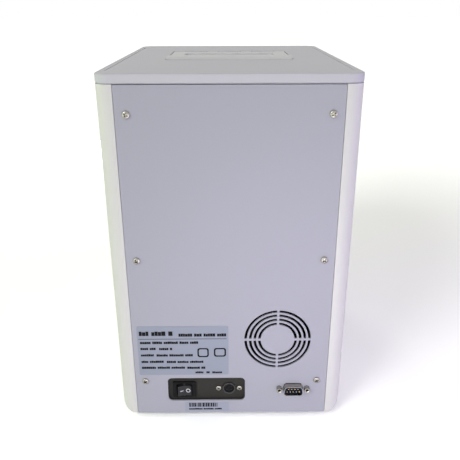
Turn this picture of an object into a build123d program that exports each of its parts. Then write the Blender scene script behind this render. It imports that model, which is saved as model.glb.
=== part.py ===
from build123d import *
import os
from math import cos, radians, sin, tan

# Bench nucleic acid extractor for 16 samples, in millimetres. +Z is up, the front faces -Y,
# and the origin is on the bench under the middle of the whole instrument.

# housing
width = 200.0
depth = 280.0
body_height = 302.0
foot_height = 4.0
foot_radius = 8.0
foot_inset_x = 22.0
foot_inset_y = 32.0
corner_radius = 12.0
bottom_radius = 13.0
shell_wall = 2.5
shell_floor = 34.0
skin_seam = 0.35
panel_margin = 14.5
panel_thick = 1.5
bezel_thick = 3.0

# top cover
cover_band = 7.6
cover_skin = 2.5
cover_rim = 4.5
cover_edge_round = 1.2
shadow_gap = 0.9
shadow_depth = 1.2
groove_inset = 6.2
groove_width = 0.8
groove_depth = 0.7
groove_rear_margin = 19.0
groove_front_margin = 30.0

# carry handle, folded flat in the top cover and hinged along its front edge
handle_width = 112.8
handle_thick = 5.5
handle_rear_edge = 108.0
handle_reach = 89.0
handle_play = 1.3
handle_lift_gap = 0.3
handle_corner = 2.5
grip_length = 17.0
grip_proud = 2.5
grip_round = 2.4
finger_width = 87.0
finger_length = 22.0
finger_corner = 4.0
well_margin = 4.0
well_depth = 22.0
lug_length = 21.0
lug_pitch = 34.75
lug_play = 1.6
handle_pin_radius = 1.5

# chamber frame and floor
frame_margin = 28.0
frame_thick = 2.5
frame_flange = 13.0
tray_thick = 1.5
tray_flange = 5.0
boss_radius = 5.0
boss_margin_y = 30.0
boss_margin_z = 46.0

# front door and touch screen
door_margin = 12.0
door_screen_gap = 6.4
door_low = 22.0
door_thick = 5.0
door_skin = 2.4
door_rim = 6.0
door_play = 0.6
door_back_gap = 0.3
door_corner = 4.0
door_lip = 6.0
door_pocket_wall = 2.5
door_pin_radius = 1.25
door_pin_reach = 10.0
grip_bar_width = 64.0
grip_bar_height = 9.0
front_reach = 6.0
grip_bar_margin = 12.0
screen_margin = 22.5
screen_height = 78.0
screen_glass = 1.8
screen_lip = 3.0
screen_margin_top = 12.0
screen_module_thick = 7.0
seat_gap = 0.2

# rear panel: screws, labels and the recessed power plate
panel_screw_margin = 8.7
panel_screw_margin_low = 35.5
panel_screw_margin_high = 21.3
screw_head_radius = 3.0
screw_head_height = 1.9
screw_shank_radius = 1.5
screw_length = 6.0
screw_play = 0.2
label_thick = 0.25
rating_label_width = 79.3
rating_label_height = 50.0
rating_label_x = 41.85
rating_label_z = 67.0
code_label_width = 40.0
code_label_height = 10.1
code_label_x = 22.2
code_label_z = 6.45
power_window_width = 69.5
power_window_height = 24.7
power_window_corner = 4.0
power_window_x = 22.25
power_window_z = 25.85
power_plate_depth = 3.0
power_plate_floor = 1.5
power_plate_rim = 4.0

# rocker switch
switch_x = 42.4
switch_z = 24.5
switch_flange_width = 21.0
switch_flange_height = 16.2
switch_flange_thick = 1.6
switch_body_width = 18.6
switch_body_height = 13.8
switch_body_depth = 14.0
rocker_width = 12.6
rocker_height = 10.2
rocker_play = 0.7
rocker_side_play = 0.3
rocker_tilt = 8.0
rocker_dish = 1.3
rocker_proud = 3.2
rocker_root = 2.4
rocker_pin_radius = 1.2
rocker_pin_reach = 1.2
running_gap = 0.05

# round direct-current jack
jack_x = 1.9
jack_z = 25.3
jack_collar_radius = 5.7
jack_collar_wall = 0.9
jack_collar_proud = 1.4
jack_body_radius = 7.0
jack_body_depth = 11.0
jack_insert_sink = 1.0
jack_contact_circle = 2.5
jack_contact_radius = 0.75
jack_contact_depth = 5.0
jack_screw_spacing = 18.9
jack_screw_head_radius = 2.5
jack_screw_head_height = 1.6
jack_screw_radius = 1.25
jack_flange_height = 12.0
jack_flange_thick = 1.5

# nine-way serial connector
serial_margin = 16.2
serial_z = 27.0
serial_reach = 6.0
serial_shell_width = 18.4
serial_shell_height = 9.4
serial_shell_slope = 10.0
serial_shell_corner = 2.8
serial_shell_wall = 0.5
serial_cut_play = 0.4
serial_flange_width = 30.8
serial_flange_height = 12.5
serial_flange_thick = 1.2
serial_block_depth = 5.0
serial_pin_pitch = 2.77
serial_row_pitch = 2.84
serial_pin_radius = 0.5
serial_pin_sink = 1.2
jackscrew_spacing = 24.99
jackscrew_hex_radius = 2.75
jackscrew_length = 4.8
jackscrew_hole_radius = 1.42
jackscrew_hole_depth = 4.0
jackscrew_shank_radius = 1.4

# cooling fan and its slotted guard
fan_margin = 1.4
fan_z = 77.9
fan_size = 60.0
fan_depth = 25.0
fan_corner = 4.0
fan_bore_radius = 28.5
fan_hole_spacing = 50.0
fan_hole_radius = 2.2
fan_stud_radius = 1.5
fan_stud_proud = 4.0
fan_nut_radius = 3.1
fan_nut_height = 2.4
fan_hub_radius = 12.5
fan_tip_gap = 1.0
fan_blades = 7
fan_motor_thick = 4.0
fan_spider_width = 4.0
fan_shaft_radius = 1.5
fan_hub_depth = 16.0
fan_hub_bevel = 1.2
fan_bore_depth = 12.0
fan_blade_thick = 1.3
fan_blade_depth = 15.0
fan_root_pitch = 48.0
fan_tip_pitch = 62.0
guard_rings = 4
guard_outer_radius = 29.0
guard_ring_pitch = 4.0
guard_slot_width = 2.3
guard_spoke_width = 2.0

# plate carriage: deck, nest, heating bars, rails and belt
head_y = -37.0
plate_length = 127.8
plate_width = 85.5
plate_play = 0.6
plate_height = 41.5
well_pitch = 9.0
rail_x = 36.0
rail_z = 22.0
rail_radius = 4.0
rail_block_width = 20.0
rail_block_depth = 10.0
rail_block_height = 22.0
bush_radius = 7.5
bush_length = 24.0
bush_spacing = 74.0
deck_low = 30.5
deck_thick = 4.0
saddle_width = 20.0
nest_wall = 2.5
nest_height = 6.0
nest_arm = 18.0
heater_height = 8.0
heater_length = 78.0
heater_bar = 9.0
heater_gap = 0.3
pit_radius = 3.6
pit_depth = 5.0
index_travel = 22.5
belt_margin = 10.0
belt_z = 30.0
belt_width = 6.0
belt_thick = 1.4
pulley_pitch_radius = 6.37
pulley_flange_radius = 8.5
pulley_flange_thick = 1.2
pulley_teeth = 20
pulley_tooth = 1.0
belt_end_gap = 5.5
belt_rear_y = 56.0
clamp_gap = 0.3
clamp_wall = 2.5
clamp_length = 22.0
index_motor_size = 35.0
index_motor_depth = 20.0
index_motor_shaft_radius = 2.5
idler_axle_radius = 2.5

# lift axis: shafts, screw, motor and the comb carriage
gantry_y = 68.0
gantry_thick = 3.0
lift_y = 46.0
lift_shaft_margin = 22.0
lift_shaft_radius = 4.0
lift_end_gap = 6.0
lift_block_height = 10.0
lift_block_width = 22.0
lift_block_front = 7.0
lift_motor_rise = 29.0
lift_motor_size = 42.0
lift_motor_height = 38.0
lift_motor_top_gap = 21.7
lift_bracket_thick = 4.0
lift_screw_radius = 4.0
motor_socket_depth = 10.0
comb_travel = 40.0
comb_bush_rise = 15.0
comb_plate_y = 34.0
comb_plate_thick = 4.0
comb_plate_margin = 12.0
comb_head_gap = 8.0
sleeve_clear = 3.0
comb_deck_thick = 6.0
comb_deck_margin = 16.0
comb_deck_front = 42.0
comb_window_length = 76.0
comb_window_width = 11.0
comb_ledge = 1.5
comb_ledge_depth = 2.5
comb_head_half = 24.0
comb_rib_foot = 14.0
gusset_thick = 3.0
nut_width = 22.0
nut_height = 12.0

# magnet head
magnet_rods_across = 8
magnet_row_pitch = 54.0
magnet_rod_radius = 2.75
magnet_rod_spare = 3.0
magnet_rod_bevel = 1.5
magnet_clear = 4.0
magnet_block_height = 12.0
magnet_block_margin = 18.0
magnet_block_length = 70.0
magnet_block_rim = 14.0
magnet_boss_radius = 9.0
magnet_guide_margin = 25.0
magnet_guide_radius = 3.0
magnet_bush_radius = 5.0
magnet_motor_size = 35.0
magnet_motor_height = 28.0
magnet_screw_radius = 3.0

# lamp and control board
lamp_radius = 8.0
lamp_end_gap = 11.0
lamp_y = -108.0
lamp_rise = 20.0
lamp_cap_length = 8.0
holder_height = 22.0
holder_width = 20.0
board_margin = 10.0
board_height = 110.0
board_low = 130.0
board_thick = 1.6
standoff_height = 6.0
standoff_radius = 3.0
standoff_inset = 6.0
sink_width = 40.0
sink_height = 40.0
sink_base = 3.0
sink_rise = 14.0
sink_fins = 6
fin_thick = 1.6
fin_depth = 15.0
capacitor_radius = 5.0
header_width = 18.0
header_depth = 8.0
chip_size = 20.0
chip_x = 14.0
chip_thick = 2.0

# sizes that follow from the width and the height
panel_width = width - 2 * panel_margin
frame_inside = width / 2 - frame_margin
door_width = panel_width - 2 * door_margin
door_height = body_height - cover_band - screen_margin_top - screen_height - door_screen_gap - door_low
screen_width = panel_width - 2 * screen_margin
panel_screw_room = body_height - cover_band - skin_seam - panel_screw_margin_low - panel_screw_margin_high
serial_x = serial_margin - frame_inside
fan_x = fan_margin + fan_size / 2 - frame_inside
belt_x = frame_inside - belt_margin
lift_shaft_x = frame_inside - lift_shaft_margin
comb_plate_half = frame_inside - comb_plate_margin
comb_deck_half = frame_inside - comb_deck_margin
magnet_block_width = 2 * (frame_inside - magnet_block_margin)
magnet_guide_x = frame_inside - magnet_guide_margin
lamp_length = 2 * (frame_inside - lamp_end_gap)
board_width = 2 * (frame_inside - board_margin)

# places worked out from the sizes above
rear_y = depth / 2 + (front_reach - serial_reach) / 2
front_y = rear_y - depth
middle_y = rear_y - depth / 2
base_z = foot_height
top_z = foot_height + body_height
seam_z = top_z - cover_band
panel_inner_y = rear_y - panel_thick
tray_low = base_z + shell_wall
tray_top = tray_low + tray_thick
cover_underside = top_z - cover_skin
frame_outside = frame_inside + frame_thick
power_face_y = rear_y - power_plate_depth
power_back_y = power_face_y - power_plate_floor
door_pocket_back = front_y + door_thick + door_back_gap
frame_front_y = door_pocket_back + door_pocket_wall
door_axis_y = front_y + door_thick / 2
door_top = base_z + door_low + door_height
door_axis_z = door_top - door_thick / 2
lamp_z = door_top + lamp_rise
handle_axis_y = rear_y - handle_rear_edge - handle_reach
handle_axis_z = top_z - handle_thick / 2
recess_floor_z = top_z - handle_thick - handle_lift_gap
deck_top = deck_low + deck_thick
screen_middle_z = seam_z - screen_margin_top - screen_height / 2
lift_motor_low = recess_floor_z - cover_skin - lift_motor_top_gap - lift_motor_height
comb_plate_high = lift_motor_low - lift_motor_rise
comb_top_low = comb_plate_high - comb_plate_thick
magnet_block_low = comb_top_low - comb_head_gap - magnet_block_height
stroke_room = magnet_block_low - magnet_clear - comb_deck_thick - sleeve_clear - plate_height - deck_top
magnet_rod_length = stroke_room / 2
magnet_travel = magnet_rod_length - magnet_rod_spare
comb_plate_low = deck_top + plate_height + sleeve_clear + magnet_rod_length
magnet_rod_low = comb_plate_low + comb_deck_thick + magnet_clear
comb_bush_low = comb_plate_low + comb_bush_rise
lift_low = comb_bush_low - comb_travel - lift_end_gap - lift_block_height
belt_front_y = head_y - bush_spacing / 2 - bush_length / 2 - index_travel - belt_end_gap
fan_back_y = panel_inner_y - fan_depth


def block(x_low, x_high, y_low, y_high, z_low, z_high):
    size = (x_high - x_low, y_high - y_low, z_high - z_low)
    return Pos((x_low + x_high) / 2, (y_low + y_high) / 2, (z_low + z_high) / 2) * Box(*size)


def upright(radius, x, y, z_low, z_high):
    return Pos(x, y, (z_low + z_high) / 2) * Cylinder(radius, z_high - z_low)


def lengthwise(radius, x, z, y_low, y_high):
    return Pos(x, (y_low + y_high) / 2, z) * Rot(90, 0, 0) * Cylinder(radius, y_high - y_low)


def crosswise(radius, y, z, x_low, x_high):
    return Pos((x_low + x_high) / 2, y, z) * Rot(0, 90, 0) * Cylinder(radius, x_high - x_low)


def rear_sheet(sketch, x, z, y_low, y_high):
    # A sketch as seen from the front, extruded along Y.
    return Pos(x, y_high, z) * Rot(90, 0, 0) * extrude(sketch, y_high - y_low)


# ---- housing ----

def housing_form(inset, low, high):
    plan = RectangleRounded(width - 2 * inset, depth - 2 * inset, corner_radius - inset)
    column = Pos(0, middle_y, low) * extrude(plan, high - low)
    end = Pos(0, (low + high) / 2) * Rectangle(width - 2 * inset, high - low)
    end = fillet(end.vertices().group_by(Axis.Y)[0], bottom_radius - inset)
    barrel = rear_sheet(end, 0, 0, middle_y - depth / 2, middle_y + depth / 2)
    return column & barrel


def right_side_shell():
    gap = panel_width / 2 + skin_seam
    shell = housing_form(0, base_z, seam_z)
    shell -= housing_form(shell_wall, tray_low, seam_z + shell_wall)
    shell -= block(-width, width / 2 - shell_floor, front_y, rear_y, 0, top_z)
    shell -= block(-gap, gap, front_y, rear_y, tray_low, top_z)
    shell -= block(-gap, gap, panel_inner_y, rear_y, 0, top_z)
    shell -= block(-gap, gap, front_y, front_y + bezel_thick, 0, top_z)
    for y in (front_y + boss_margin_y, rear_y - boss_margin_y):
        for z in (base_z + boss_margin_z, seam_z - boss_margin_z):
            shell += crosswise(boss_radius, y, z, frame_outside, width / 2 - shell_wall / 2)
    return shell


def left_side_shell():
    return mirror(right_side_shell(), Plane.YZ)


def base_tray():
    half = panel_width / 2
    tray = block(-half, half, front_y + bezel_thick, panel_inner_y, tray_low, tray_top)
    flange_half = frame_inside - seat_gap
    flange_top = tray_top + tray_flange
    flange_front = panel_inner_y - tray_thick
    return tray + block(-flange_half, flange_half, flange_front, panel_inner_y, tray_low, flange_top)


def rubber_feet():
    foot = extrude(Circle(foot_radius), foot_height, taper=-8)
    feet = []
    for x in (foot_inset_x - width / 2, width / 2 - foot_inset_x):
        for y in (front_y + foot_inset_y, rear_y - foot_inset_y):
            feet.append(Pos(x, y, 0) * foot)
    return Compound(children=feet)


def rear_panel():
    half = panel_width / 2
    panel = block(-half, half, panel_inner_y, rear_y, base_z, seam_z - skin_seam)
    panel -= guard_slots()
    window = RectangleRounded(power_window_width, power_window_height, power_window_corner)
    panel -= rear_sheet(window, power_window_x, base_z + power_window_z, panel_inner_y, rear_y)
    opening = offset(serial_outline(), serial_cut_play)
    panel -= rear_sheet(opening, serial_x, base_z + serial_z, panel_inner_y, rear_y)
    jackscrew_hole = jackscrew_shank_radius + screw_play
    for x in jackscrew_places():
        panel -= lengthwise(jackscrew_hole, x, base_z + serial_z, panel_inner_y, rear_y)
    for x, z in panel_screw_places():
        panel -= lengthwise(screw_shank_radius + screw_play, x, z, panel_inner_y, rear_y)
    return panel


def guard_slots():
    # Four rings of slots, cut into quarters by an upright and a level spoke.
    slots = Sketch()
    for ring in range(guard_rings):
        outer = guard_outer_radius - ring * guard_ring_pitch
        slots += Circle(outer) - Circle(outer - guard_slot_width)
    span = 2 * guard_outer_radius
    slots -= Rectangle(guard_spoke_width, span)
    slots -= Rectangle(span, guard_spoke_width)
    return rear_sheet(slots, fan_x, base_z + fan_z, panel_inner_y, rear_y)


def panel_screw_places():
    places = []
    side = panel_width / 2 - panel_screw_margin
    for x in (-side, side):
        for row in range(3):
            places.append((x, base_z + panel_screw_margin_low + row * panel_screw_room / 2))
    return places


def pan_screw(head_radius, head_height, shank_radius, length):
    # Bevelled head on +Z, seated at the origin.
    head = extrude(Circle(head_radius), head_height)
    head = chamfer(head.edges().group_by(Axis.Z)[-1], head_height / 2)
    return head + Pos(0, 0, -length / 2) * Cylinder(shank_radius, length)


def facing_rear(shape, x, y, z):
    return Pos(x, y, z) * Rot(-90, 0, 0) * shape


def rear_panel_screws():
    screw = pan_screw(screw_head_radius, screw_head_height, screw_shank_radius, screw_length)
    return Compound(children=[facing_rear(screw, x, rear_y, z) for x, z in panel_screw_places()])


def rating_label():
    sketch = RectangleRounded(rating_label_width, rating_label_height, 1.5)
    return rear_sheet(sketch, rating_label_x, base_z + rating_label_z, rear_y, rear_y + label_thick)


def code_label():
    sketch = RectangleRounded(code_label_width, code_label_height, 0.8)
    return rear_sheet(sketch, code_label_x, base_z + code_label_z, rear_y, rear_y + label_thick)


# ---- top cover and carry handle ----

def top_cover():
    plan = RectangleRounded(width, depth, corner_radius)
    cover = extrude(plan, cover_band)
    cover = fillet(cover.faces().sort_by(Axis.Z)[-1].edges(), cover_edge_round)
    stepped = RectangleRounded(
        width - 2 * shadow_depth, depth - 2 * shadow_depth, corner_radius - shadow_depth)
    cover -= extrude(plan - stepped, shadow_gap)
    hollow = RectangleRounded(
        width - 2 * cover_rim, depth - 2 * cover_rim, corner_radius - cover_rim)
    cover -= extrude(hollow, cover_band - cover_skin)
    cover = Pos(0, middle_y, seam_z) * cover
    cover += recess_form(handle_play + cover_skin, recess_floor_z - cover_skin, cover_underside)
    cover += well_form(cover_skin, top_z - well_depth - cover_skin, cover_underside)
    cover -= recess_form(handle_play, recess_floor_z, top_z + cover_skin)
    cover -= well_form(0, top_z - well_depth, top_z + cover_skin)
    for lug in lug_places():
        half = lug_length / 2
        front = handle_axis_y - handle_thick / 2
        foot = handle_axis_y + handle_thick / 2
        cover += crosswise(handle_thick / 2, handle_axis_y, handle_axis_z, lug - half, lug + half)
        cover += block(lug - half, lug + half, front, foot, recess_floor_z - cover_skin / 2, handle_axis_z)
    pin_half = handle_width / 2 + handle_play + cover_skin
    cover -= crosswise(handle_pin_radius, handle_axis_y, handle_axis_z, -pin_half, pin_half)
    groove_rear = rear_y - groove_rear_margin
    groove_front = front_y + groove_front_margin
    for side in (-1, 1):
        x = side * (width / 2 - groove_inset)
        half = groove_width / 2
        cover -= block(x - half, x + half, groove_front, groove_rear, top_z - groove_depth, top_z)
    return cover


def lug_places():
    return [-lug_pitch, 0, lug_pitch]


def recess_form(play, z_low, z_high):
    half = handle_width / 2 + play
    y_low = handle_axis_y - handle_thick / 2 - play
    y_high = handle_axis_y + handle_reach + play
    plan = RectangleRounded(2 * half, y_high - y_low, handle_corner + play)
    return Pos(0, (y_low + y_high) / 2, z_low) * extrude(plan, z_high - z_low)


def finger_middle_y():
    return handle_axis_y + handle_reach - grip_length - finger_length / 2


def well_form(wall, z_low, z_high):
    size_x = finger_width + 2 * well_margin + 2 * wall
    size_y = finger_length + 2 * well_margin + 2 * wall
    plan = RectangleRounded(size_x, size_y, finger_corner + wall)
    return Pos(0, finger_middle_y(), z_low) * extrude(plan, z_high - z_low)


def carry_handle():
    # Side profile: a barrel at the hinge, a flat plate, and the thicker rounded grip at the rear.
    half = handle_thick / 2
    profile = Circle(half)
    profile += Pos((handle_reach - grip_length / 2) / 2, 0) * Rectangle(
        handle_reach - grip_length / 2, handle_thick)
    grip = RectangleRounded(grip_length, handle_thick + grip_proud, grip_round)
    profile += Pos(handle_reach - grip_length / 2, grip_proud / 2) * grip
    handle = extrude(Plane.YZ * profile, handle_width / 2, both=True)
    handle = Pos(0, handle_axis_y, handle_axis_z) * handle
    opening = RectangleRounded(finger_width, finger_length, finger_corner)
    fingers = extrude(opening, 2 * handle_thick, both=True)
    handle -= Pos(0, finger_middle_y(), handle_axis_z) * fingers
    for lug in lug_places():
        notch = lug_length / 2 + lug_play
        y_high = handle_axis_y + half + handle_play
        handle -= block(lug - notch, lug + notch, handle_axis_y - half, y_high, handle_axis_z - half, top_z)
    bore = handle_pin_radius + running_gap
    handle -= crosswise(bore, handle_axis_y, handle_axis_z, -handle_width / 2, handle_width / 2)
    return handle


def handle_hinge_pin():
    half = handle_width / 2 + handle_play + cover_skin
    return crosswise(handle_pin_radius, handle_axis_y, handle_axis_z, -half, half)


# ---- front ----

def door_outline(play):
    # Square at the hinge and rounded at the two lower corners, from the door's low edge up.
    sketch = Pos(0, door_height / 2) * Rectangle(door_width + 2 * play, door_height + 2 * play)
    return fillet(sketch.vertices().group_by(Axis.Y)[0], door_corner + play)


def door_form(play, y_low, y_high):
    return rear_sheet(door_outline(play), 0, base_z + door_low, y_low, y_high)


def front_bezel():
    half = panel_width / 2
    bezel = block(-half, half, front_y, front_y + bezel_thick, base_z, seam_z - skin_seam)
    bezel += door_form(door_play + door_pocket_wall, front_y, frame_front_y)
    bezel -= door_form(door_play, front_y, door_pocket_back)
    way_in = RectangleRounded(door_width - 2 * door_lip, door_height - 2 * door_lip, door_corner)
    bezel -= rear_sheet(way_in, 0, base_z + door_low + door_height / 2, front_y, frame_front_y)
    glass = RectangleRounded(screen_width + 2 * seat_gap, screen_height + 2 * seat_gap, 3)
    bezel -= rear_sheet(glass, 0, screen_middle_z, front_y, front_y + screen_glass)
    window = Rectangle(screen_width - 2 * screen_lip, screen_height - 2 * screen_lip)
    bezel -= rear_sheet(window, 0, screen_middle_z, front_y, front_y + bezel_thick)
    pin_half = door_width / 2 + door_play + door_pocket_wall
    bezel -= crosswise(door_pin_radius, door_axis_y, door_axis_z, -pin_half, pin_half)
    return bezel


def touch_glass():
    glass = RectangleRounded(screen_width, screen_height, 3 - seat_gap)
    return rear_sheet(glass, 0, screen_middle_z, front_y, front_y + screen_glass)


def display_module():
    wide = screen_width - 2 * screen_lip - 2 * seat_gap
    high = screen_height - 2 * screen_lip - 2 * seat_gap
    front = front_y + screen_glass
    module = rear_sheet(Rectangle(wide, high), 0, screen_middle_z, front, front + screen_module_thick)
    board = Rectangle(wide - 8, high - 8)
    back = front + screen_module_thick
    return module + rear_sheet(board, 0, screen_middle_z, back, back + board_thick)


def door_window():
    # A shallow tray of tinted sheet with a rolled top edge that turns about the hinge pins.
    middle_z = base_z + door_low + door_height / 2
    door = door_form(0, front_y, front_y + door_thick)
    inner = RectangleRounded(door_width - 2 * door_rim, door_height - 2 * door_rim, door_corner)
    door -= rear_sheet(inner, 0, middle_z, front_y + door_skin, front_y + door_thick)
    half = door_width / 2
    top = door_axis_z + door_thick / 2
    door -= block(-half, half, front_y, front_y + door_thick, door_axis_z, top)
    door += crosswise(door_thick / 2, door_axis_y, door_axis_z, -half, half)
    bore = door_pin_radius + running_gap
    for side in (-1, 1):
        inner_end, outer_end = sorted((side * (half - door_pin_reach), side * half))
        door -= crosswise(bore, door_axis_y, door_axis_z, inner_end, outer_end)
    return door


def door_hinge_pins():
    outer = door_width / 2 + door_play + door_pocket_wall
    inner = door_width / 2 - door_pin_reach + seat_gap
    right = crosswise(door_pin_radius, door_axis_y, door_axis_z, inner, outer)
    return Compound(children=[right, mirror(right, Plane.YZ)])


def door_grip():
    # A shallow hooked pull across the lower edge of the door.
    half = grip_bar_height / 2
    lip = front_reach
    face = Polyline((0, -half), (-lip * 0.45, -half))
    nose = ThreePointArc((-lip * 0.45, -half), (-lip, 0), (-lip * 0.45, half))
    section = make_face(face + nose + Line((-lip * 0.45, half), (0, half)) + Line((0, half), (0, -half)))
    grip = extrude(Plane.YZ * section, grip_bar_width / 2, both=True)
    hook = Pos(-lip * 0.5, half) * Circle(lip * 0.3)
    grip -= extrude(Plane.YZ * hook, grip_bar_width / 2 - lip, both=True)
    return Pos(0, front_y, base_z + door_low + grip_bar_margin) * grip


# ---- chamber frame ----

def frame_plate_right():
    frame_top = seam_z - skin_seam
    plate = block(frame_inside, frame_outside, frame_front_y, panel_inner_y, tray_top, frame_top)
    inset = cover_rim + skin_seam + corner_radius
    plate += block(frame_inside, frame_outside, front_y + inset, rear_y - inset, frame_top, cover_underside)
    flange_x = frame_inside + frame_flange
    flange_front = panel_inner_y - frame_thick
    plate += block(frame_inside, flange_x, flange_front, panel_inner_y, tray_top, frame_top)
    for x, z in panel_screw_places():
        if x > 0:
            plate -= lengthwise(screw_shank_radius + running_gap, x, z, flange_front, panel_inner_y)
    return plate


def right_frame_plate():
    shaft_hole = index_motor_shaft_radius + 1
    return frame_plate_right() - crosswise(shaft_hole, belt_rear_y, belt_z, frame_inside, frame_outside)


def left_frame_plate():
    return mirror(frame_plate_right(), Plane.YZ)


def gantry_plate():
    # The cross wall that carries the lift axis, with the motor's shelf on its front.
    wall = block(-frame_inside, frame_inside, gantry_y, gantry_y + gantry_thick, tray_top, cover_underside)
    half = lift_motor_size / 2
    shelf_low = lift_motor_low - lift_bracket_thick
    wall += block(-half, half, lift_y - half, gantry_y, shelf_low, lift_motor_low)
    for x in (-half, half - gusset_thick):
        gusset = make_face(Polyline(
            (gantry_y, shelf_low), (gantry_y, shelf_low - half), (lift_y - half, shelf_low), close=True))
        wall += Pos(x, 0, 0) * extrude(Plane.YZ * gusset, gusset_thick)
    return wall - upright(lift_screw_radius + 1, 0, lift_y, shelf_low, lift_motor_low)


def uv_lamp():
    half = lamp_length / 2
    tube = crosswise(lamp_radius - 1, lamp_y, lamp_z, -half, half)
    for side in (-1, 1):
        inner, outer = sorted((side * (half - lamp_cap_length), side * half))
        tube += crosswise(lamp_radius, lamp_y, lamp_z, inner, outer)
    return tube


def lamp_holders():
    # Cupped ends that carry the lamp off the two frame plates.
    inner = lamp_length / 2 - lamp_cap_length / 2
    half = holder_height / 2
    holder = block(inner, frame_inside, lamp_y - holder_width / 2, lamp_y + holder_width / 2,
                   lamp_z - half, lamp_z + half)
    holder = fillet(holder.edges().filter_by(Axis.X), 4)
    holder -= crosswise(lamp_radius + seat_gap, lamp_y, lamp_z, inner, lamp_length / 2 + seat_gap)
    return Compound(children=[holder, mirror(holder, Plane.YZ)])


# ---- rear compartment ----

def standoff_places():
    half = board_width / 2 - standoff_inset
    places = []
    for x in (-half, half):
        for z in (board_low + standoff_inset, board_low + board_height - standoff_inset):
            places.append((x, z))
    return places


def board_standoffs():
    back = gantry_y + gantry_thick
    return Compound(children=[
        lengthwise(standoff_radius, x, z, back, back + standoff_height) for x, z in standoff_places()])


def control_board():
    front = gantry_y + gantry_thick + standoff_height
    half = board_width / 2
    return block(-half, half, front, front + board_thick, board_low, board_low + board_height)


def board_components():
    # Heat sink, capacitors, pin headers and a processor on the rear of the board.
    face = gantry_y + gantry_thick + standoff_height + board_thick
    sink_low = board_low + standoff_inset + sink_rise
    sink = block(-sink_width - 5, -5, face, face + sink_base, sink_low, sink_low + sink_height)
    for fin in range(sink_fins):
        x = -5 - sink_width + fin * (sink_width - fin_thick) / (sink_fins - 1)
        sink += block(x, x + fin_thick, face, face + fin_depth, sink_low, sink_low + sink_height)
    parts = [sink]
    for place in range(3):
        x = 12 + place * (2 * capacitor_radius + 3)
        parts.append(lengthwise(capacitor_radius, x, sink_low + capacitor_radius, face, face + fin_depth))
    header_top = board_low + board_height - standoff_inset
    for place in range(4):
        x = standoff_inset + 8 - board_width / 2 + place * (header_width + 8)
        header_low = header_top - header_depth
        parts.append(block(x, x + header_width, face, face + header_depth, header_low, header_top))
    chip_low = sink_low + 4 * capacitor_radius
    parts.append(block(chip_x, chip_x + chip_size, face, face + chip_thick, chip_low, chip_low + chip_size))
    return Compound(children=parts)


# ---- power plate, switch and jack ----

def power_plate():
    # A dark dish behind the window, its floor set back from the panel's face.
    wide = power_window_width + 2 * power_plate_rim
    high = power_window_height + 2 * power_plate_rim
    outline = RectangleRounded(wide, high, power_window_corner + power_plate_rim)
    place = (power_window_x, base_z + power_window_z)
    plate = rear_sheet(outline, *place, power_back_y, panel_inner_y)
    window = RectangleRounded(power_window_width, power_window_height, power_window_corner)
    plate -= rear_sheet(window, *place, power_face_y, panel_inner_y)
    hole = Rectangle(switch_body_width + 2 * seat_gap, switch_body_height + 2 * seat_gap)
    plate -= rear_sheet(hole, switch_x, base_z + switch_z, power_back_y, power_face_y)
    plate -= lengthwise(jack_collar_radius + seat_gap, jack_x, base_z + jack_z, power_back_y, power_face_y)
    for x in jack_screw_places():
        plate -= lengthwise(jack_screw_radius + screw_play, x, base_z + jack_z, power_back_y, power_face_y)
    return plate


def switch_housing():
    flange = RectangleRounded(switch_flange_width, switch_flange_height, 1.2)
    place = (switch_x, base_z + switch_z)
    front = power_face_y - switch_body_depth
    housing = rear_sheet(flange, *place, power_face_y, power_face_y + switch_flange_thick)
    housing += rear_sheet(Rectangle(switch_body_width, switch_body_height), *place, front, power_face_y)
    room_x = rocker_width + 2 * rocker_play
    room_z = rocker_height + 2 * rocker_side_play
    room = rear_sheet(Rectangle(room_x, room_z), *place, front + 2, power_face_y + switch_flange_thick)
    housing -= room
    reach = rocker_height / 2 + rocker_side_play + rocker_pin_reach
    housing -= upright(rocker_pin_radius, switch_x, rocker_axis_y(), base_z + switch_z - reach,
                       base_z + switch_z + reach)
    return housing


def rocker_axis_y():
    return power_face_y + switch_flange_thick / 2


def rocker():
    # Seen from above: a dished outer face, with straight sides that narrow into the housing.
    half = rocker_width / 2
    section = make_face(Polyline(
        (-half + 1, -rocker_root), (-half, rocker_proud - 1.2), (-half + 0.4, rocker_proud),
        (0, rocker_proud - rocker_dish), (half - 0.4, rocker_proud), (half, rocker_proud - 1.2),
        (half - 1, -rocker_root), close=True))
    body = extrude(section, rocker_height / 2, both=True)
    reach = rocker_height / 2 + rocker_side_play + rocker_pin_reach - running_gap
    body += upright(rocker_pin_radius - running_gap, 0, 0, -reach, reach)
    return Pos(switch_x, rocker_axis_y(), base_z + switch_z) * Rot(0, 0, rocker_tilt) * body


def jack_screw_places():
    return [jack_x - jack_screw_spacing / 2, jack_x + jack_screw_spacing / 2]


def jack_body():
    z = base_z + jack_z
    tip = power_face_y + jack_collar_proud
    body = lengthwise(jack_collar_radius, jack_x, z, power_back_y, tip)
    flange = SlotCenterToCenter(jack_screw_spacing, jack_flange_height)
    body += rear_sheet(flange, jack_x, z, power_back_y - jack_flange_thick, power_back_y)
    body += lengthwise(jack_body_radius, jack_x, z, power_back_y - jack_body_depth, power_back_y)
    inside = jack_collar_radius - jack_collar_wall
    body -= lengthwise(inside, jack_x, z, power_back_y - jack_body_depth / 2, tip)
    flange_front = power_back_y - jack_flange_thick
    for x in jack_screw_places():
        body -= lengthwise(jack_screw_radius + running_gap, x, z, flange_front, power_back_y)
    return body


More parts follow.
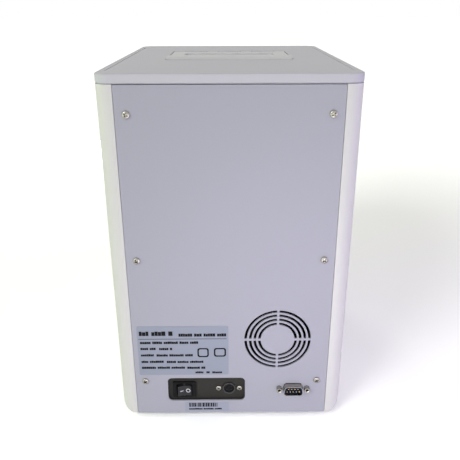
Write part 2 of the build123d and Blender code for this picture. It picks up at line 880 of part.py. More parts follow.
def jack_insert():
    # The insulator with its four contact holes, sunk a little below the collar.
    z = base_z + jack_z
    face = power_face_y + jack_collar_proud - jack_insert_sink
    radius = jack_collar_radius - jack_collar_wall
    insert = lengthwise(radius, jack_x, z, power_back_y - jack_body_depth / 2, face)
    for quarter in range(4):
        turn = radians(45 + 90 * quarter)
        x = jack_x + jack_contact_circle * cos(turn)
        hole_z = z + jack_contact_circle * sin(turn)
        insert -= lengthwise(jack_contact_radius, x, hole_z, face - jack_contact_depth, face)
    return insert


def jack_screws():
    length = power_plate_floor + jack_flange_thick
    screw = pan_screw(jack_screw_head_radius, jack_screw_head_height, jack_screw_radius, length)
    return Compound(children=[
        facing_rear(screw, x, power_face_y, base_z + jack_z) for x in jack_screw_places()])


# ---- serial connector ----

def serial_outline():
    # The D shape of the plug's metal shell, with its long side at the bottom.
    half = serial_shell_width / 2
    high = serial_shell_height / 2
    drawn_in = serial_shell_height * tan(radians(serial_shell_slope))
    top = half - drawn_in
    corners = Polyline((-half, -high), (half, -high), (top, high), (-top, high), close=True)
    return fillet(make_face(corners).vertices(), serial_shell_corner)


def serial_shell():
    z = base_z + serial_z
    flange_front = panel_inner_y - serial_flange_thick
    flange = RectangleRounded(serial_flange_width, serial_flange_height, 1.5)
    shell = rear_sheet(flange, serial_x, z, flange_front, panel_inner_y)
    shell += rear_sheet(serial_outline(), serial_x, z, flange_front, rear_y + serial_reach)
    room = offset(serial_outline(), -serial_shell_wall)
    shell -= rear_sheet(room, serial_x, z, flange_front, rear_y + serial_reach)
    for x in jackscrew_places():
        shell -= lengthwise(jackscrew_shank_radius + screw_play, x, z, flange_front, panel_inner_y)
    return shell


def serial_insulator():
    z = base_z + serial_z
    flange_front = panel_inner_y - serial_flange_thick
    block_sketch = Rectangle(serial_shell_width - 1, serial_shell_height)
    back = flange_front - serial_block_depth
    insulator = rear_sheet(block_sketch, serial_x, z, back, flange_front)
    room = offset(serial_outline(), -serial_shell_wall)
    insulator += rear_sheet(room, serial_x, z, flange_front, panel_inner_y)
    for x, pin_z in serial_pin_places():
        insulator -= lengthwise(serial_pin_radius, x, pin_z, back, panel_inner_y)
    return insulator


def serial_pin_places():
    places = []
    for row, count in ((-0.5, 5), (0.5, 4)):
        for place in range(count):
            x = serial_x + (place - (count - 1) / 2) * serial_pin_pitch
            places.append((x, base_z + serial_z + row * serial_row_pitch))
    return places


def serial_pins():
    back = panel_inner_y - serial_flange_thick - serial_block_depth
    tip = rear_y + serial_reach - serial_pin_sink
    return Compound(children=[
        lengthwise(serial_pin_radius, x, z, back, tip) for x, z in serial_pin_places()])


def jackscrew_places():
    return [serial_x - jackscrew_spacing / 2, serial_x + jackscrew_spacing / 2]


def serial_jackscrews():
    screws = []
    for x in jackscrew_places():
        z = base_z + serial_z
        hexagon = RegularPolygon(jackscrew_hex_radius, 6)
        screw = rear_sheet(hexagon, x, z, rear_y, rear_y + jackscrew_length)
        screw += lengthwise(jackscrew_shank_radius, x, z, panel_inner_y - 2 * serial_flange_thick, rear_y)
        mouth = rear_y + jackscrew_length
        screw -= lengthwise(jackscrew_hole_radius, x, z, mouth - jackscrew_hole_depth, mouth)
        screws.append(screw)
    return Compound(children=screws)


# ---- cooling fan ----

def fan_hole_places():
    half = fan_hole_spacing / 2
    middle_z = base_z + fan_z
    return [(fan_x + x, middle_z + z) for x in (-half, half) for z in (-half, half)]


def fan_housing():
    place = (fan_x, base_z + fan_z)
    ring = RectangleRounded(fan_size, fan_size, fan_corner) - Circle(fan_bore_radius)
    housing = rear_sheet(ring, *place, fan_back_y, panel_inner_y)
    housing += lengthwise(fan_hub_radius, *place, fan_back_y, fan_back_y + fan_motor_thick)
    span = 2 * fan_bore_radius + 1
    spider = Rectangle(span, fan_spider_width) + Rectangle(fan_spider_width, span)
    housing += rear_sheet(Rot(0, 0, 45) * spider, *place, fan_back_y, fan_back_y + fan_motor_thick / 2)
    shaft_end = fan_back_y + fan_motor_thick + fan_bore_depth - fan_shaft_radius / 2
    housing += lengthwise(fan_shaft_radius, *place, fan_back_y, shaft_end)
    for x, z in fan_hole_places():
        housing -= lengthwise(fan_hole_radius, x, z, fan_back_y, panel_inner_y)
    return housing


def fan_studs():
    # Studs off the rear panel, each with the nut that holds a corner of the fan.
    studs = []
    for x, z in fan_hole_places():
        nut = RegularPolygon(fan_nut_radius, 6)
        stud = rear_sheet(nut, x, z, fan_back_y - fan_nut_height, fan_back_y)
        stud += lengthwise(fan_stud_radius, x, z, fan_back_y - fan_stud_proud, panel_inner_y)
        studs.append(stud)
    return Compound(children=studs)


def fan_rotor():
    # A cupped hub with seven swept blades, each lofted from a steep root to a flatter tip.
    low = fan_back_y + fan_motor_thick + seat_gap
    hub = extrude(Circle(fan_hub_radius), fan_hub_depth)
    hub = chamfer(hub.faces().sort_by(Axis.Z)[-1].edges(), fan_hub_bevel)
    hub -= extrude(Circle(fan_shaft_radius + running_gap), fan_bore_depth)
    tip_radius = fan_bore_radius - fan_tip_gap
    root = blade_section(fan_hub_radius - 1.5, fan_root_pitch)
    tip = blade_section(tip_radius + fan_tip_gap, fan_tip_pitch)
    blade = Pos(0, 0, fan_hub_depth / 2) * loft([root, tip])
    blade &= Cylinder(tip_radius, 2 * fan_hub_depth)
    for turn in range(fan_blades):
        hub += Rot(0, 0, turn * 360 / fan_blades) * blade
    return Pos(fan_x, low, base_z + fan_z) * Rot(-90, 0, 0) * hub


def blade_section(radius, pitch):
    # Across the radius at this distance: the blade leans `pitch` degrees from the axis.
    chord = fan_blade_depth / cos(radians(pitch)) * 0.8
    section = Rot(0, 0, 90 - pitch) * Rectangle(chord, fan_blade_thick)
    return Plane(origin=(radius, 0, 0), x_dir=(0, 1, 0), z_dir=(1, 0, 0)) * section


# ---- plate carriage ----

def rail_ends():
    return frame_front_y + seat_gap, gantry_y


def carriage_rails():
    low, high = rail_ends()
    return Compound(children=[lengthwise(rail_radius, x, rail_z, low, high) for x in (-rail_x, rail_x)])


def rail_blocks():
    low, high = rail_ends()
    blocks = []
    for x in (-rail_x, rail_x):
        for y in (low, high - rail_block_depth):
            half = rail_block_width / 2
            top = tray_top + rail_block_height
            body = block(x - half, x + half, y, y + rail_block_depth, tray_top, top)
            body = chamfer(body.edges().filter_by(Axis.Y).group_by(Axis.Z)[-1], 4)
            body -= lengthwise(rail_radius, x, rail_z, y, y + rail_block_depth)
            blocks.append(body)
    return Compound(children=blocks)


def plate_deck():
    half_x = plate_width / 2 + plate_play + nest_wall
    half_y = plate_length / 2 + plate_play + nest_wall
    deck = block(-half_x, half_x, head_y - half_y, head_y + half_y, deck_low, deck_top)
    for x in (-rail_x, rail_x):
        for y in (head_y - bush_spacing / 2, head_y + bush_spacing / 2):
            half = saddle_width / 2
            saddle = block(x - half, x + half, y - bush_length / 2, y + bush_length / 2,
                           rail_z - rail_radius, deck_low)
            deck += saddle - lengthwise(bush_radius, x, rail_z, y - bush_length / 2, y + bush_length / 2)
    deck += nest_corners(half_x, half_y)
    return deck + belt_clamp(half_x)


def nest_corners(half_x, half_y):
    # Four raised corners that locate the deep-well plate.
    rim = block(-half_x, half_x, head_y - half_y, head_y + half_y, deck_top, deck_top + nest_height)
    room_x = half_x - nest_wall
    room_y = half_y - nest_wall
    rim -= block(-room_x, room_x, head_y - room_y, head_y + room_y, deck_top, deck_top + nest_height)
    clear_x = half_x - nest_arm
    clear_y = half_y - nest_arm
    rim -= block(-clear_x, clear_x, head_y - half_y, head_y + half_y, deck_top, deck_top + nest_height)
    rim -= block(-half_x, half_x, head_y - clear_y, head_y + clear_y, deck_top, deck_top + nest_height)
    return rim


def belt_clamp(half_x):
    # A tab on the deck's right edge that closes round the belt's upper run.
    run_z = belt_z + pulley_pitch_radius
    low = run_z - belt_thick / 2 - clamp_gap - clamp_wall
    high = run_z + belt_thick / 2 + clamp_gap + clamp_wall
    outer = belt_x + belt_width / 2 + clamp_gap + clamp_wall
    half = clamp_length / 2
    clamp = block(half_x, outer, head_y - half, head_y + half, low, high)
    clamp += block(half_x - nest_wall, half_x + clamp_wall, head_y - half, head_y + half, deck_low, high)
    run = belt_width / 2 + clamp_gap
    gap_low = low + clamp_wall
    gap_high = high - clamp_wall
    return clamp - block(belt_x - run, belt_x + run, head_y - half, head_y + half, gap_low, gap_high)


def carriage_bushes():
    bushes = []
    for x in (-rail_x, rail_x):
        for y in (head_y - bush_spacing / 2, head_y + bush_spacing / 2):
            low = y - bush_length / 2
            high = y + bush_length / 2
            bushes.append(lengthwise(bush_radius, x, rail_z, low, high)
                          - lengthwise(rail_radius + running_gap, x, rail_z, low, high))
    return Compound(children=bushes)


def heating_bars():
    # Bars under the two heated columns of each half of the plate, one pit to each well.
    bar_top = deck_top + heater_height
    bars = []
    for first, columns in ((0, 1), (5, 2), (11, 1)):
        middle = head_y + (first + (columns - 1) / 2 - 5.5) * well_pitch
        half_y = columns * heater_bar / 2 - heater_gap
        half_x = heater_length / 2
        bar = block(-half_x, half_x, middle - half_y, middle + half_y, deck_top, bar_top)
        for column in range(columns):
            y = head_y + (first + column - 5.5) * well_pitch
            for row in range(8):
                x = (row - 3.5) * well_pitch
                bar -= upright(pit_radius, x, y, bar_top - pit_depth, bar_top)
        bars.append(bar)
    return Compound(children=bars)


def pulley(y, bore):
    low = belt_x - belt_width / 2 - seat_gap
    high = belt_x + belt_width / 2 + seat_gap
    wheel = crosswise(pulley_pitch_radius - belt_thick / 2 - seat_gap, y, belt_z, low, high)
    for x in (low - pulley_flange_thick, high):
        wheel += crosswise(pulley_flange_radius, y, belt_z, x, x + pulley_flange_thick)
    tooth_top = belt_z + pulley_pitch_radius - belt_thick / 2 - running_gap
    half = pulley_tooth / 2
    tooth = block(low, high, y - half, y + half, belt_z, tooth_top)
    for turn in range(pulley_teeth):
        wheel += Pos(0, y, belt_z) * Rot(turn * 360 / pulley_teeth, 0, 0) * Pos(0, -y, -belt_z) * tooth
    return wheel - crosswise(bore, y, belt_z, low - 2 * pulley_flange_thick, high + 2 * pulley_flange_thick)


def index_pulley():
    # The pulley pressed on the index motor's shaft.
    inner = belt_x - belt_width / 2 - seat_gap - 2 * pulley_flange_thick
    shaft = crosswise(index_motor_shaft_radius, belt_rear_y, belt_z, inner, frame_outside - seat_gap)
    return pulley(belt_rear_y, index_motor_shaft_radius) + shaft


def idler_pulley():
    return pulley(belt_front_y, idler_axle_radius + running_gap)


def timing_belt():
    length = belt_rear_y - belt_front_y
    middle = (belt_rear_y + belt_front_y) / 2
    outer = SlotCenterToCenter(length, 2 * pulley_pitch_radius + belt_thick)
    inner = SlotCenterToCenter(length, 2 * pulley_pitch_radius - belt_thick)
    loop = extrude(Plane.YZ * (outer - inner), belt_width / 2, both=True)
    return Pos(belt_x, middle, belt_z) * loop


def idler_axle():
    inner = belt_x - belt_width / 2 - seat_gap - 2 * pulley_flange_thick
    return crosswise(idler_axle_radius, belt_front_y, belt_z, inner, frame_inside)


def index_motor():
    half = index_motor_size / 2
    place_y = belt_rear_y
    outer = frame_outside + index_motor_depth
    body = block(frame_outside, outer, place_y - half, place_y + half, belt_z - half, belt_z + half)
    return chamfer(body.edges().filter_by(Axis.X), 4)


# ---- lift axis ----

def lift_shafts():
    places = (-lift_shaft_x, lift_shaft_x)
    return Compound(children=[
        upright(lift_shaft_radius, x, lift_y, lift_low, lift_motor_low) for x in places])


def shaft_block(x, z_low, bore):
    half = lift_block_width / 2
    body = block(x - half, x + half, lift_y - lift_block_front, gantry_y, z_low, z_low + lift_block_height)
    body = fillet(body.edges().filter_by(Axis.Z).group_by(Axis.Y)[0], 3)
    return body - upright(bore, x, lift_y, z_low, z_low + lift_block_height)


def lift_shaft_blocks():
    blocks = []
    for x in (-lift_shaft_x, lift_shaft_x):
        for z in (lift_low, lift_motor_low - lift_block_height):
            blocks.append(shaft_block(x, z, lift_shaft_radius))
    blocks.append(shaft_block(0, lift_low, lift_screw_radius + running_gap))
    return Compound(children=blocks)


def lift_motor():
    half = lift_motor_size / 2
    top = lift_motor_low + lift_motor_height
    body = block(-half, half, lift_y - half, lift_y + half, lift_motor_low, top)
    body = chamfer(body.edges().filter_by(Axis.Z), 4)
    socket = lift_motor_low + motor_socket_depth
    return body - upright(lift_screw_radius + running_gap, 0, lift_y, lift_motor_low, socket)


def lift_screw():
    return upright(lift_screw_radius, 0, lift_y, lift_low, lift_motor_low + motor_socket_depth - seat_gap)


def comb_carriage():
    # Back plate on the lift shafts, with a head plate for the magnet motor and its two guides.
    back = comb_plate_y + comb_plate_thick
    carriage = block(-comb_plate_half, comb_plate_half, comb_plate_y, back, comb_plate_low, comb_plate_high)
    head_front = head_y - comb_head_half
    half = comb_head_half
    carriage += block(-half, half, head_front, comb_plate_y, comb_top_low, comb_plate_high)
    for x in (-magnet_guide_x, magnet_guide_x):
        half = magnet_bush_radius + 2
        carriage += block(x - half, x + half, head_y - half, comb_plate_y, comb_top_low, comb_plate_high)
        carriage -= upright(magnet_guide_radius, x, head_y, comb_top_low, comb_plate_high)
    for side in (-1, 1):
        x = side * (comb_plate_half - gusset_thick / 2) - gusset_thick / 2
        rib = make_face(Polyline(
            (comb_plate_y, comb_plate_low), (comb_plate_y - comb_rib_foot, comb_plate_low),
            (comb_plate_y - gusset_thick, comb_plate_high), (comb_plate_y, comb_plate_high), close=True))
        carriage += Pos(x, 0, 0) * extrude(Plane.YZ * rib, gusset_thick)
    high = comb_bush_low + bush_length
    for x in (-lift_shaft_x, lift_shaft_x):
        half = saddle_width / 2
        saddle = block(x - half, x + half, back, lift_y + bush_radius + 2, comb_bush_low, high)
        carriage += saddle - upright(bush_radius, x, lift_y, comb_bush_low, high)
    half = nut_width / 2
    nut_low = comb_bush_low + bush_length / 2 - nut_height / 2
    carriage += block(-half, half, back, lift_y + half, nut_low, nut_low + nut_height)
    carriage -= upright(lift_screw_radius + running_gap, 0, lift_y, nut_low, nut_low + nut_height)
    return carriage - upright(magnet_screw_radius + 1, 0, head_y, comb_top_low, comb_plate_high)


def comb_bushes():
    bushes = []
    for x in (-lift_shaft_x, lift_shaft_x):
        high = comb_bush_low + bush_length
        bushes.append(upright(bush_radius, x, lift_y, comb_bush_low, high)
                      - upright(lift_shaft_radius + running_gap, x, lift_y, comb_bush_low, high))
    return Compound(children=bushes)


def comb_rows():
    return [head_y - magnet_row_pitch / 2, head_y + magnet_row_pitch / 2]


def comb_holder():
    # The plate that grips two tip combs, each in a stepped window under its row of rods.
    low = comb_plate_low
    high = comb_plate_low + comb_deck_thick
    front = head_y - comb_deck_front
    holder = block(-comb_deck_half, comb_deck_half, front, comb_plate_y, low, high)
    holder = fillet(holder.edges().filter_by(Axis.Z).group_by(Axis.Y)[0], 8)
    for y in comb_rows():
        window = RectangleRounded(comb_window_length, comb_window_width, 2)
        holder -= Pos(0, y, low) * extrude(window, comb_deck_thick)
        ledge = RectangleRounded(
            comb_window_length + 2 * comb_ledge, comb_window_width + 2 * comb_ledge, 2 + comb_ledge)
        holder -= Pos(0, y, low) * extrude(ledge, comb_ledge_depth)
    return holder


def magnet_guides():
    low = comb_plate_low + comb_deck_thick
    guides = []
    for x in (-magnet_guide_x, magnet_guide_x):
        guides.append(upright(magnet_guide_radius, x, head_y, low, comb_plate_high))
    return Compound(children=guides)


def magnet_motor():
    half = magnet_motor_size / 2
    top = comb_plate_high + magnet_motor_height
    body = block(-half, half, head_y - half, head_y + half, comb_plate_high, top)
    body = chamfer(body.edges().filter_by(Axis.Z), 4)
    socket = comb_plate_high + motor_socket_depth
    return body - upright(magnet_screw_radius + running_gap, 0, head_y, comb_plate_high, socket)


def magnet_screw():
    low = comb_plate_low + comb_deck_thick + seat_gap
    high = comb_plate_high + motor_socket_depth - seat_gap
    return upright(magnet_screw_radius, 0, head_y, low, high)


# ---- magnet head ----

def magnet_block():
    half_x = magnet_block_width / 2
    half_y = magnet_block_length / 2
    low = magnet_block_low
    high = magnet_block_low + magnet_block_height
    body = block(-half_x, half_x, head_y - half_y, head_y + half_y, low, high)
    body = fillet(body.edges().filter_by(Axis.Z), 6)
    room_x = half_x - magnet_block_rim
    room_y = half_y - magnet_block_rim
    pocket = block(-room_x, room_x, head_y - room_y, head_y + room_y, low + magnet_block_height / 2, high)
    body -= pocket - upright(magnet_boss_radius, 0, head_y, low, high)
    for x in (-magnet_guide_x, magnet_guide_x):
        body -= upright(magnet_guide_radius + running_gap, x, head_y, low, high)
    return body - upright(magnet_screw_radius + running_gap, 0, head_y, low, high)


def magnet_rods():
    rods = []
    for y in comb_rows():
        for place in range(magnet_rods_across):
            x = (place - (magnet_rods_across - 1) / 2) * well_pitch
            rod = upright(magnet_rod_radius, x, y, magnet_rod_low, magnet_block_low)
            rods.append(chamfer(rod.edges().group_by(Axis.Z)[0], magnet_rod_bevel))
    return Compound(children=rods)


pieces = {
    "base_tray": base_tray,
    "left_side_shell": left_side_shell,
    "right_side_shell": right_side_shell,
    "rear_panel": rear_panel,
    "top_cover": top_cover,
    "front_bezel": front_bezel,
    "rubber_feet": rubber_feet,
    "rear_panel_screws": rear_panel_screws,
    "rating_label": rating_label,
    "code_label": code_label,
    "touch_glass": touch_glass,
    "display_module": display_module,
    "door_hinge_pins": door_hinge_pins,
    "handle_hinge_pin": handle_hinge_pin,
    "left_frame_plate": left_frame_plate,
    "right_frame_plate": right_frame_plate,
    "gantry_plate": gantry_plate,
    "uv_lamp": uv_lamp,
    "lamp_holders": lamp_holders,
    "board_standoffs": board_standoffs,
    "control_board": control_board,
    "board_components": board_components,
    "power_plate": power_plate,
    "switch_housing": switch_housing,
    "jack_body": jack_body,
    "jack_insert": jack_insert,
    "jack_screws": jack_screws,
    "serial_shell": serial_shell,
    "serial_insulator": serial_insulator,
    "serial_pins": serial_pins,
    "serial_jackscrews": serial_jackscrews,
    "fan_housing": fan_housing,
    "fan_studs": fan_studs,
    "carriage_rails": carriage_rails,
    "rail_blocks": rail_blocks,
    "timing_belt": timing_belt,
    "idler_axle": idler_axle,
    "index_motor": index_motor,
    "lift_shafts": lift_shafts,
    "lift_shaft_blocks": lift_shaft_blocks,
    "lift_motor": lift_motor,
    "carry_handle": carry_handle,
    "door_window": door_window,
    "door_grip": door_grip,
    "rocker": rocker,
    "fan_rotor": fan_rotor,
    "plate_deck": plate_deck,
    "carriage_bushes": carriage_bushes,
    "heating_bars": heating_bars,
    "index_pulley": index_pulley,
    "idler_pulley": idler_pulley,
    "lift_screw": lift_screw,
    "comb_carriage": comb_carriage,
    "comb_bushes": comb_bushes,
    "comb_holder": comb_holder,
    "magnet_guides": magnet_guides,
    "magnet_motor": magnet_motor,
    "magnet_screw": magnet_screw,
    "magnet_block": magnet_block,
    "magnet_rods": magnet_rods,
}

os.makedirs("parts", exist_ok=True)
for name, make_piece in pieces.items():
    export_step(make_piece(), f"parts/{name}.step")
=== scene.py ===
from math import atan2, cos, pi, radians, sin
from random import Random

import bmesh
import bpy
from mathutils import Matrix, Vector


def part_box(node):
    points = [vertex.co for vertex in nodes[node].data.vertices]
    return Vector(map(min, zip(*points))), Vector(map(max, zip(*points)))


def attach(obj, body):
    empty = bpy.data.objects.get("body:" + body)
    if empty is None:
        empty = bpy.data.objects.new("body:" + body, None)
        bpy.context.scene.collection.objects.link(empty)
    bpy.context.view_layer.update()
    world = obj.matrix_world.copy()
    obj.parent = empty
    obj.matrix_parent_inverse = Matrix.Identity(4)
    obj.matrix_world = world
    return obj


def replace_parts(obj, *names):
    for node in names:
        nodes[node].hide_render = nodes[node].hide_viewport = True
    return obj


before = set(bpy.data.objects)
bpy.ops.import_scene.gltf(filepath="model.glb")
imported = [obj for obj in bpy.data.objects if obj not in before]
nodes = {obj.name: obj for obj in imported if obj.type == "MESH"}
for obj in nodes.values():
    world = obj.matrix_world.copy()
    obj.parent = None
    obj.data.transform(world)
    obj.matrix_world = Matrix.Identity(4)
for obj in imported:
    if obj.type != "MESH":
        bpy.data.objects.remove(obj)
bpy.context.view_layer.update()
mm = 0.001
print("frame loaded:", len(nodes), "nodes")


class Value:
    # One socket of a node tree, so that shader maths reads as sums.
    def __init__(self, graph, socket):
        self.graph = graph
        self.socket = socket

    def maths(self, operation, *values):
        return self.graph.node("ShaderNodeMath", {"operation": operation}, *values)

    def __add__(self, other):
        return self.maths("ADD", self, other)

    def __radd__(self, other):
        return self.maths("ADD", other, self)

    def __sub__(self, other):
        return self.maths("SUBTRACT", self, other)

    def __rsub__(self, other):
        return self.maths("SUBTRACT", other, self)

    def __mul__(self, other):
        return self.maths("MULTIPLY", self, other)

    def __rmul__(self, other):
        return self.maths("MULTIPLY", other, self)

    def __pow__(self, other):
        return self.maths("POWER", self, other)

    def __lt__(self, other):
        return self.maths("LESS_THAN", self, other)

    def __abs__(self):
        return self.maths("ABSOLUTE", self)

    def orHigher(self, other):
        return self.maths("MAXIMUM", self, other)


class Graph:
    # A node tree with one way to add a node and one to fill a socket.
    def __init__(self, tree):
        self.tree = tree

    def feed(self, socket, value):
        if isinstance(value, Value):
            self.tree.links.new(value.socket, socket)
        elif isinstance(value, (tuple, list)) and socket.type == "RGBA" and len(value) == 3:
            socket.default_value = (*value, 1.0)
        else:
            socket.default_value = value

    def node(self, kind, settings, *values, **named):
        # Settings go first; `inlets` and `outlet` say which sockets are meant, where not the first ones.
        made = self.tree.nodes.new(kind)
        inlets, outlet = range(len(values)), 0
        for key, value in settings.items():
            if key == "inlets":
                inlets = value
            elif key == "outlet":
                outlet = value
            else:
                setattr(made, key, value)
        for place, value in zip(inlets, values):
            self.feed(made.inputs[place], value)
        for key, value in named.items():
            self.feed(made.inputs[key.replace("_", " ")], value)
        return Value(self, made.outputs[outlet])

    def blend(self, mask, low, high):
        # A colour mix: its factor and colours are sockets 0, 6 and 7.
        return self.node("ShaderNodeMix", {"data_type": "RGBA", "inlets": (0, 6, 7), "outlet": 2}, mask, low, high)

    def ray(self, kind):
        return self.node("ShaderNodeLightPath", {"outlet": kind})

    def seenByEye(self):
        # Camera, mirror and see-through rays; all others only carry light.
        straight = self.ray("Is Camera Ray").orHigher(self.ray("Is Glossy Ray"))
        return straight.orHigher(self.ray("Is Transmission Ray"))


class Look(Graph):
    # A material and its Principled shader.
    def __init__(self, name, sockets):
        self.material = bpy.data.materials.new(name)
        self.material.use_nodes = True
        super().__init__(self.material.node_tree)
        self.shader = self.tree.nodes["Principled BSDF"]
        for key, value in sockets.items():
            self.feed(self.shader.inputs[key], value)

    def coords(self):
        return self.node("ShaderNodeTexCoord", {"outlet": "Object"})

    def noise(self, scale, detail=2.0, stretch=None, distortion=0.0):
        place = self.coords()
        if stretch:
            place = self.node("ShaderNodeVectorMath", {"operation": "MULTIPLY"}, place, stretch)
        return self.node("ShaderNodeTexNoise", {"outlet": "Fac"}, Vector=place, Scale=scale, Detail=detail,
                         Distortion=distortion)

    def shades(self, mask, color, dark, light):
        # One colour, from `dark` to `light` times as bright.
        tones = [tuple(min(1.0, c * factor) for c in color) for factor in (dark, light)]
        return self.blend(mask, *tones)

    def paint(self, **sockets):
        for key, value in sockets.items():
            self.feed(self.shader.inputs[key.replace("_", " ")], value)

    def bump(self, height, strength, distance):
        self.paint(Normal=self.node("ShaderNodeBump", {}, Strength=strength, Distance=distance, Height=height))


# In the finishes, scales are in cells per metre, shades are factors of the colour, and a bump is its
# strength and its height in metres.
mouldedSkin = {"grain": 1500.0, "drift": 11.0, "shades": (0.98, 1.02), "bump": (0.12, 0.00012),
               "roughness": (-0.05, 0.06, 0.05)}


def moulded(name, color, rough, specular):
    # Injection-moulded plastic: an even colour, a fine spark texture and a slow drift in sheen.
    look = Look(name, {"Specular IOR Level": specular})
    fine = look.noise(mouldedSkin["grain"])
    slow = look.noise(mouldedSkin["drift"], 3.0)
    lower, drift, grain = mouldedSkin["roughness"]
    look.paint(Base_Color=look.shades(slow, color, *mouldedSkin["shades"]),
               Roughness=rough + lower + slow * drift + fine * grain)
    look.bump(fine, *mouldedSkin["bump"])
    return look


powder = {"peel": 900.0, "swirl": 0.3, "drift": 7.0, "shades": (0.985, 1.015), "crest": (0.5, 0.75, 0.0, 0.35),
          "crestHighlight": 1.07, "roughness": 0.16, "bump": (0.25, 0.00015)}


def powderCoat(name, color, rough):
    # Baked powder on sheet steel: orange peel, with a painted highlight, a paler speck on each crest of the peel.
    look = Look(name, {"Specular IOR Level": 0.45})
    peel = look.noise(powder["peel"], 3.0, distortion=powder["swirl"])
    base = look.shades(look.noise(powder["drift"]), color, *powder["shades"])
    # Painted highlight: the colour turns paler where the peel's bump stands highest.
    crest = look.node("ShaderNodeMapRange", {}, peel, *powder["crest"])
    highlightColor = tuple(min(1.0, c * powder["crestHighlight"]) for c in color)
    look.paint(Base_Color=look.blend(crest, base, highlightColor), Roughness=rough + (peel - 0.5) * powder["roughness"])
    look.bump(peel, *powder["bump"])
    return look


lay = {"shades": (0.93, 1.04), "drift": 25.0, "roughness": (-0.08, 0.12, 0.06), "height": 0.00008}


def brushed(name, color, rough, stretch, pitch, strength=0.08):
    # Metal with a lay: fine lines along the axis that is not stretched.
    look = Look(name, {"Metallic": 1.0})
    lines = look.noise(pitch, 3.0, stretch)
    slow = look.noise(lay["drift"])
    lower, fine, drift = lay["roughness"]
    look.paint(Base_Color=look.shades(lines, color, *lay["shades"]),
               Roughness=rough + lower + lines * fine + slow * drift)
    look.bump(lines, strength, lay["height"])
    return look


plating = {"haze": 60.0, "grain": 700.0, "shades": (0.95, 1.03), "roughness": (0.08, 0.04),
           "bump": (0.03, 0.00005)}


def polished(name, color, rough):
    # Bright plating with a faint haze.
    look = Look(name, {"Metallic": 1.0})
    haze = look.noise(plating["haze"], 4.0)
    fine = look.noise(plating["grain"])
    cloud, grain = plating["roughness"]
    look.paint(Base_Color=look.shades(haze, color, *plating["shades"]),
               Roughness=rough + haze * cloud + fine * grain)
    look.bump(fine, *plating["bump"])
    return look


plastics = {
    # name: colour, roughness, specular level
    "cover": ((0.65, 0.65, 0.70), 0.5, 0.5), "shell": ((0.80, 0.80, 0.78), 0.42, 0.5),
    "bezel": ((0.78, 0.78, 0.79), 0.42, 0.5), "handle": ((0.79, 0.79, 0.81), 0.5, 0.5),
    "grip": ((0.16, 0.165, 0.18), 0.4, 0.5), "dish": ((0.031, 0.030, 0.025), 0.5, 0.22),
    "black": ((0.008, 0.008, 0.009), 0.42, 0.12), "rockerBlack": ((0.014, 0.013, 0.015), 0.36, 0.4),
    "jackRim": ((0.045, 0.045, 0.048), 0.3, 0.6),
    "fan": ((0.007, 0.007, 0.008), 0.5, 0.15), "insulator": ((0.014, 0.040, 0.16), 0.42, 0.3),
    "holder": ((0.62, 0.62, 0.60), 0.48, 0.5), "parts": ((0.030, 0.030, 0.033), 0.42, 0.4),
    "bush": ((0.52, 0.50, 0.42), 0.45, 0.5), "labelFilm": ((0.345, 0.38, 0.465), 0.42, 0.5),
    "codeFilm": ((0.40, 0.43, 0.52), 0.42, 0.5), "ink": ((0.006, 0.006, 0.008), 0.55, 0.15),
    "white": ((0.82, 0.82, 0.84), 0.45, 0.5), "motor": ((0.020, 0.020, 0.022), 0.36, 0.5),
}
looks = {name: moulded(name + "Plastic", *skin) for name, skin in plastics.items()}
looks["panel"] = powderCoat("panelPowder", (0.468, 0.475, 0.545), 0.46)
looks["sheet"] = brushed("platedSheet", (0.60, 0.61, 0.63), 0.38, (1.0, 1.0, 30.0), 120.0)
looks["ground"] = brushed("groundShaft", (0.70, 0.71, 0.72), 0.2, (30.0, 30.0, 30.0), 60.0, 0.04)
looks["milled"] = brushed("milledAluminium", (0.78, 0.79, 0.80), 0.32, (1.0, 24.0, 1.0), 260.0)
looks["anodised"] = brushed("blackAnodised", (0.05, 0.05, 0.055), 0.4, (1.0, 20.0, 1.0), 300.0)
looks["nickel"] = polished("brightNickel", (0.37, 0.355, 0.325), 0.2)
looks["magnet"] = polished("magnetPlate", (0.74, 0.75, 0.77), 0.1)
looks["gold"] = polished("pinGold", (0.86, 0.66, 0.30), 0.2)


rubber = {"grain": 1100.0, "dust": 35.0, "shades": (1.0, 1.5), "roughness": (0.72, 0.18), "bump": (0.3, 0.0002)}


def rubberLook(name, color):
    look = Look(name, {"Specular IOR Level": 0.35})
    fine = look.noise(rubber["grain"], 3.0)
    dust = look.noise(rubber["dust"], 4.0)
    least, grain = rubber["roughness"]
    look.paint(Base_Color=look.shades(dust, color, *rubber["shades"]), Roughness=least + fine * grain)
    look.bump(fine, *rubber["bump"])
    return look


# Clear sheets: index, cells per metre, thinnest and deepest tint, added roughness.
clearSheets = {"smokedSheet": (1.5, 9.0, (0.36, 0.39, 0.42), (0.40, 0.43, 0.46), 0.02),
               "lampQuartz": (1.46, 30.0, (0.93, 0.95, 0.98), (0.97, 0.98, 1.0), 0.03)}


def clearSheet(name):
    index, scale, low, high, haze = clearSheets[name]
    look = Look(name, {"Transmission Weight": 1.0, "IOR": index})
    slow = look.noise(scale)
    look.paint(Base_Color=look.blend(slow, low, high), Roughness=0.02 + slow * haze)
    return look


display = {"border": 7.0, "chin": 9.0, "mask": (0.004, 0.004, 0.005), "panel": (0.016, 0.018, 0.023),
           "roughness": (0.05, 0.04, 0.02), "smears": 8.0}


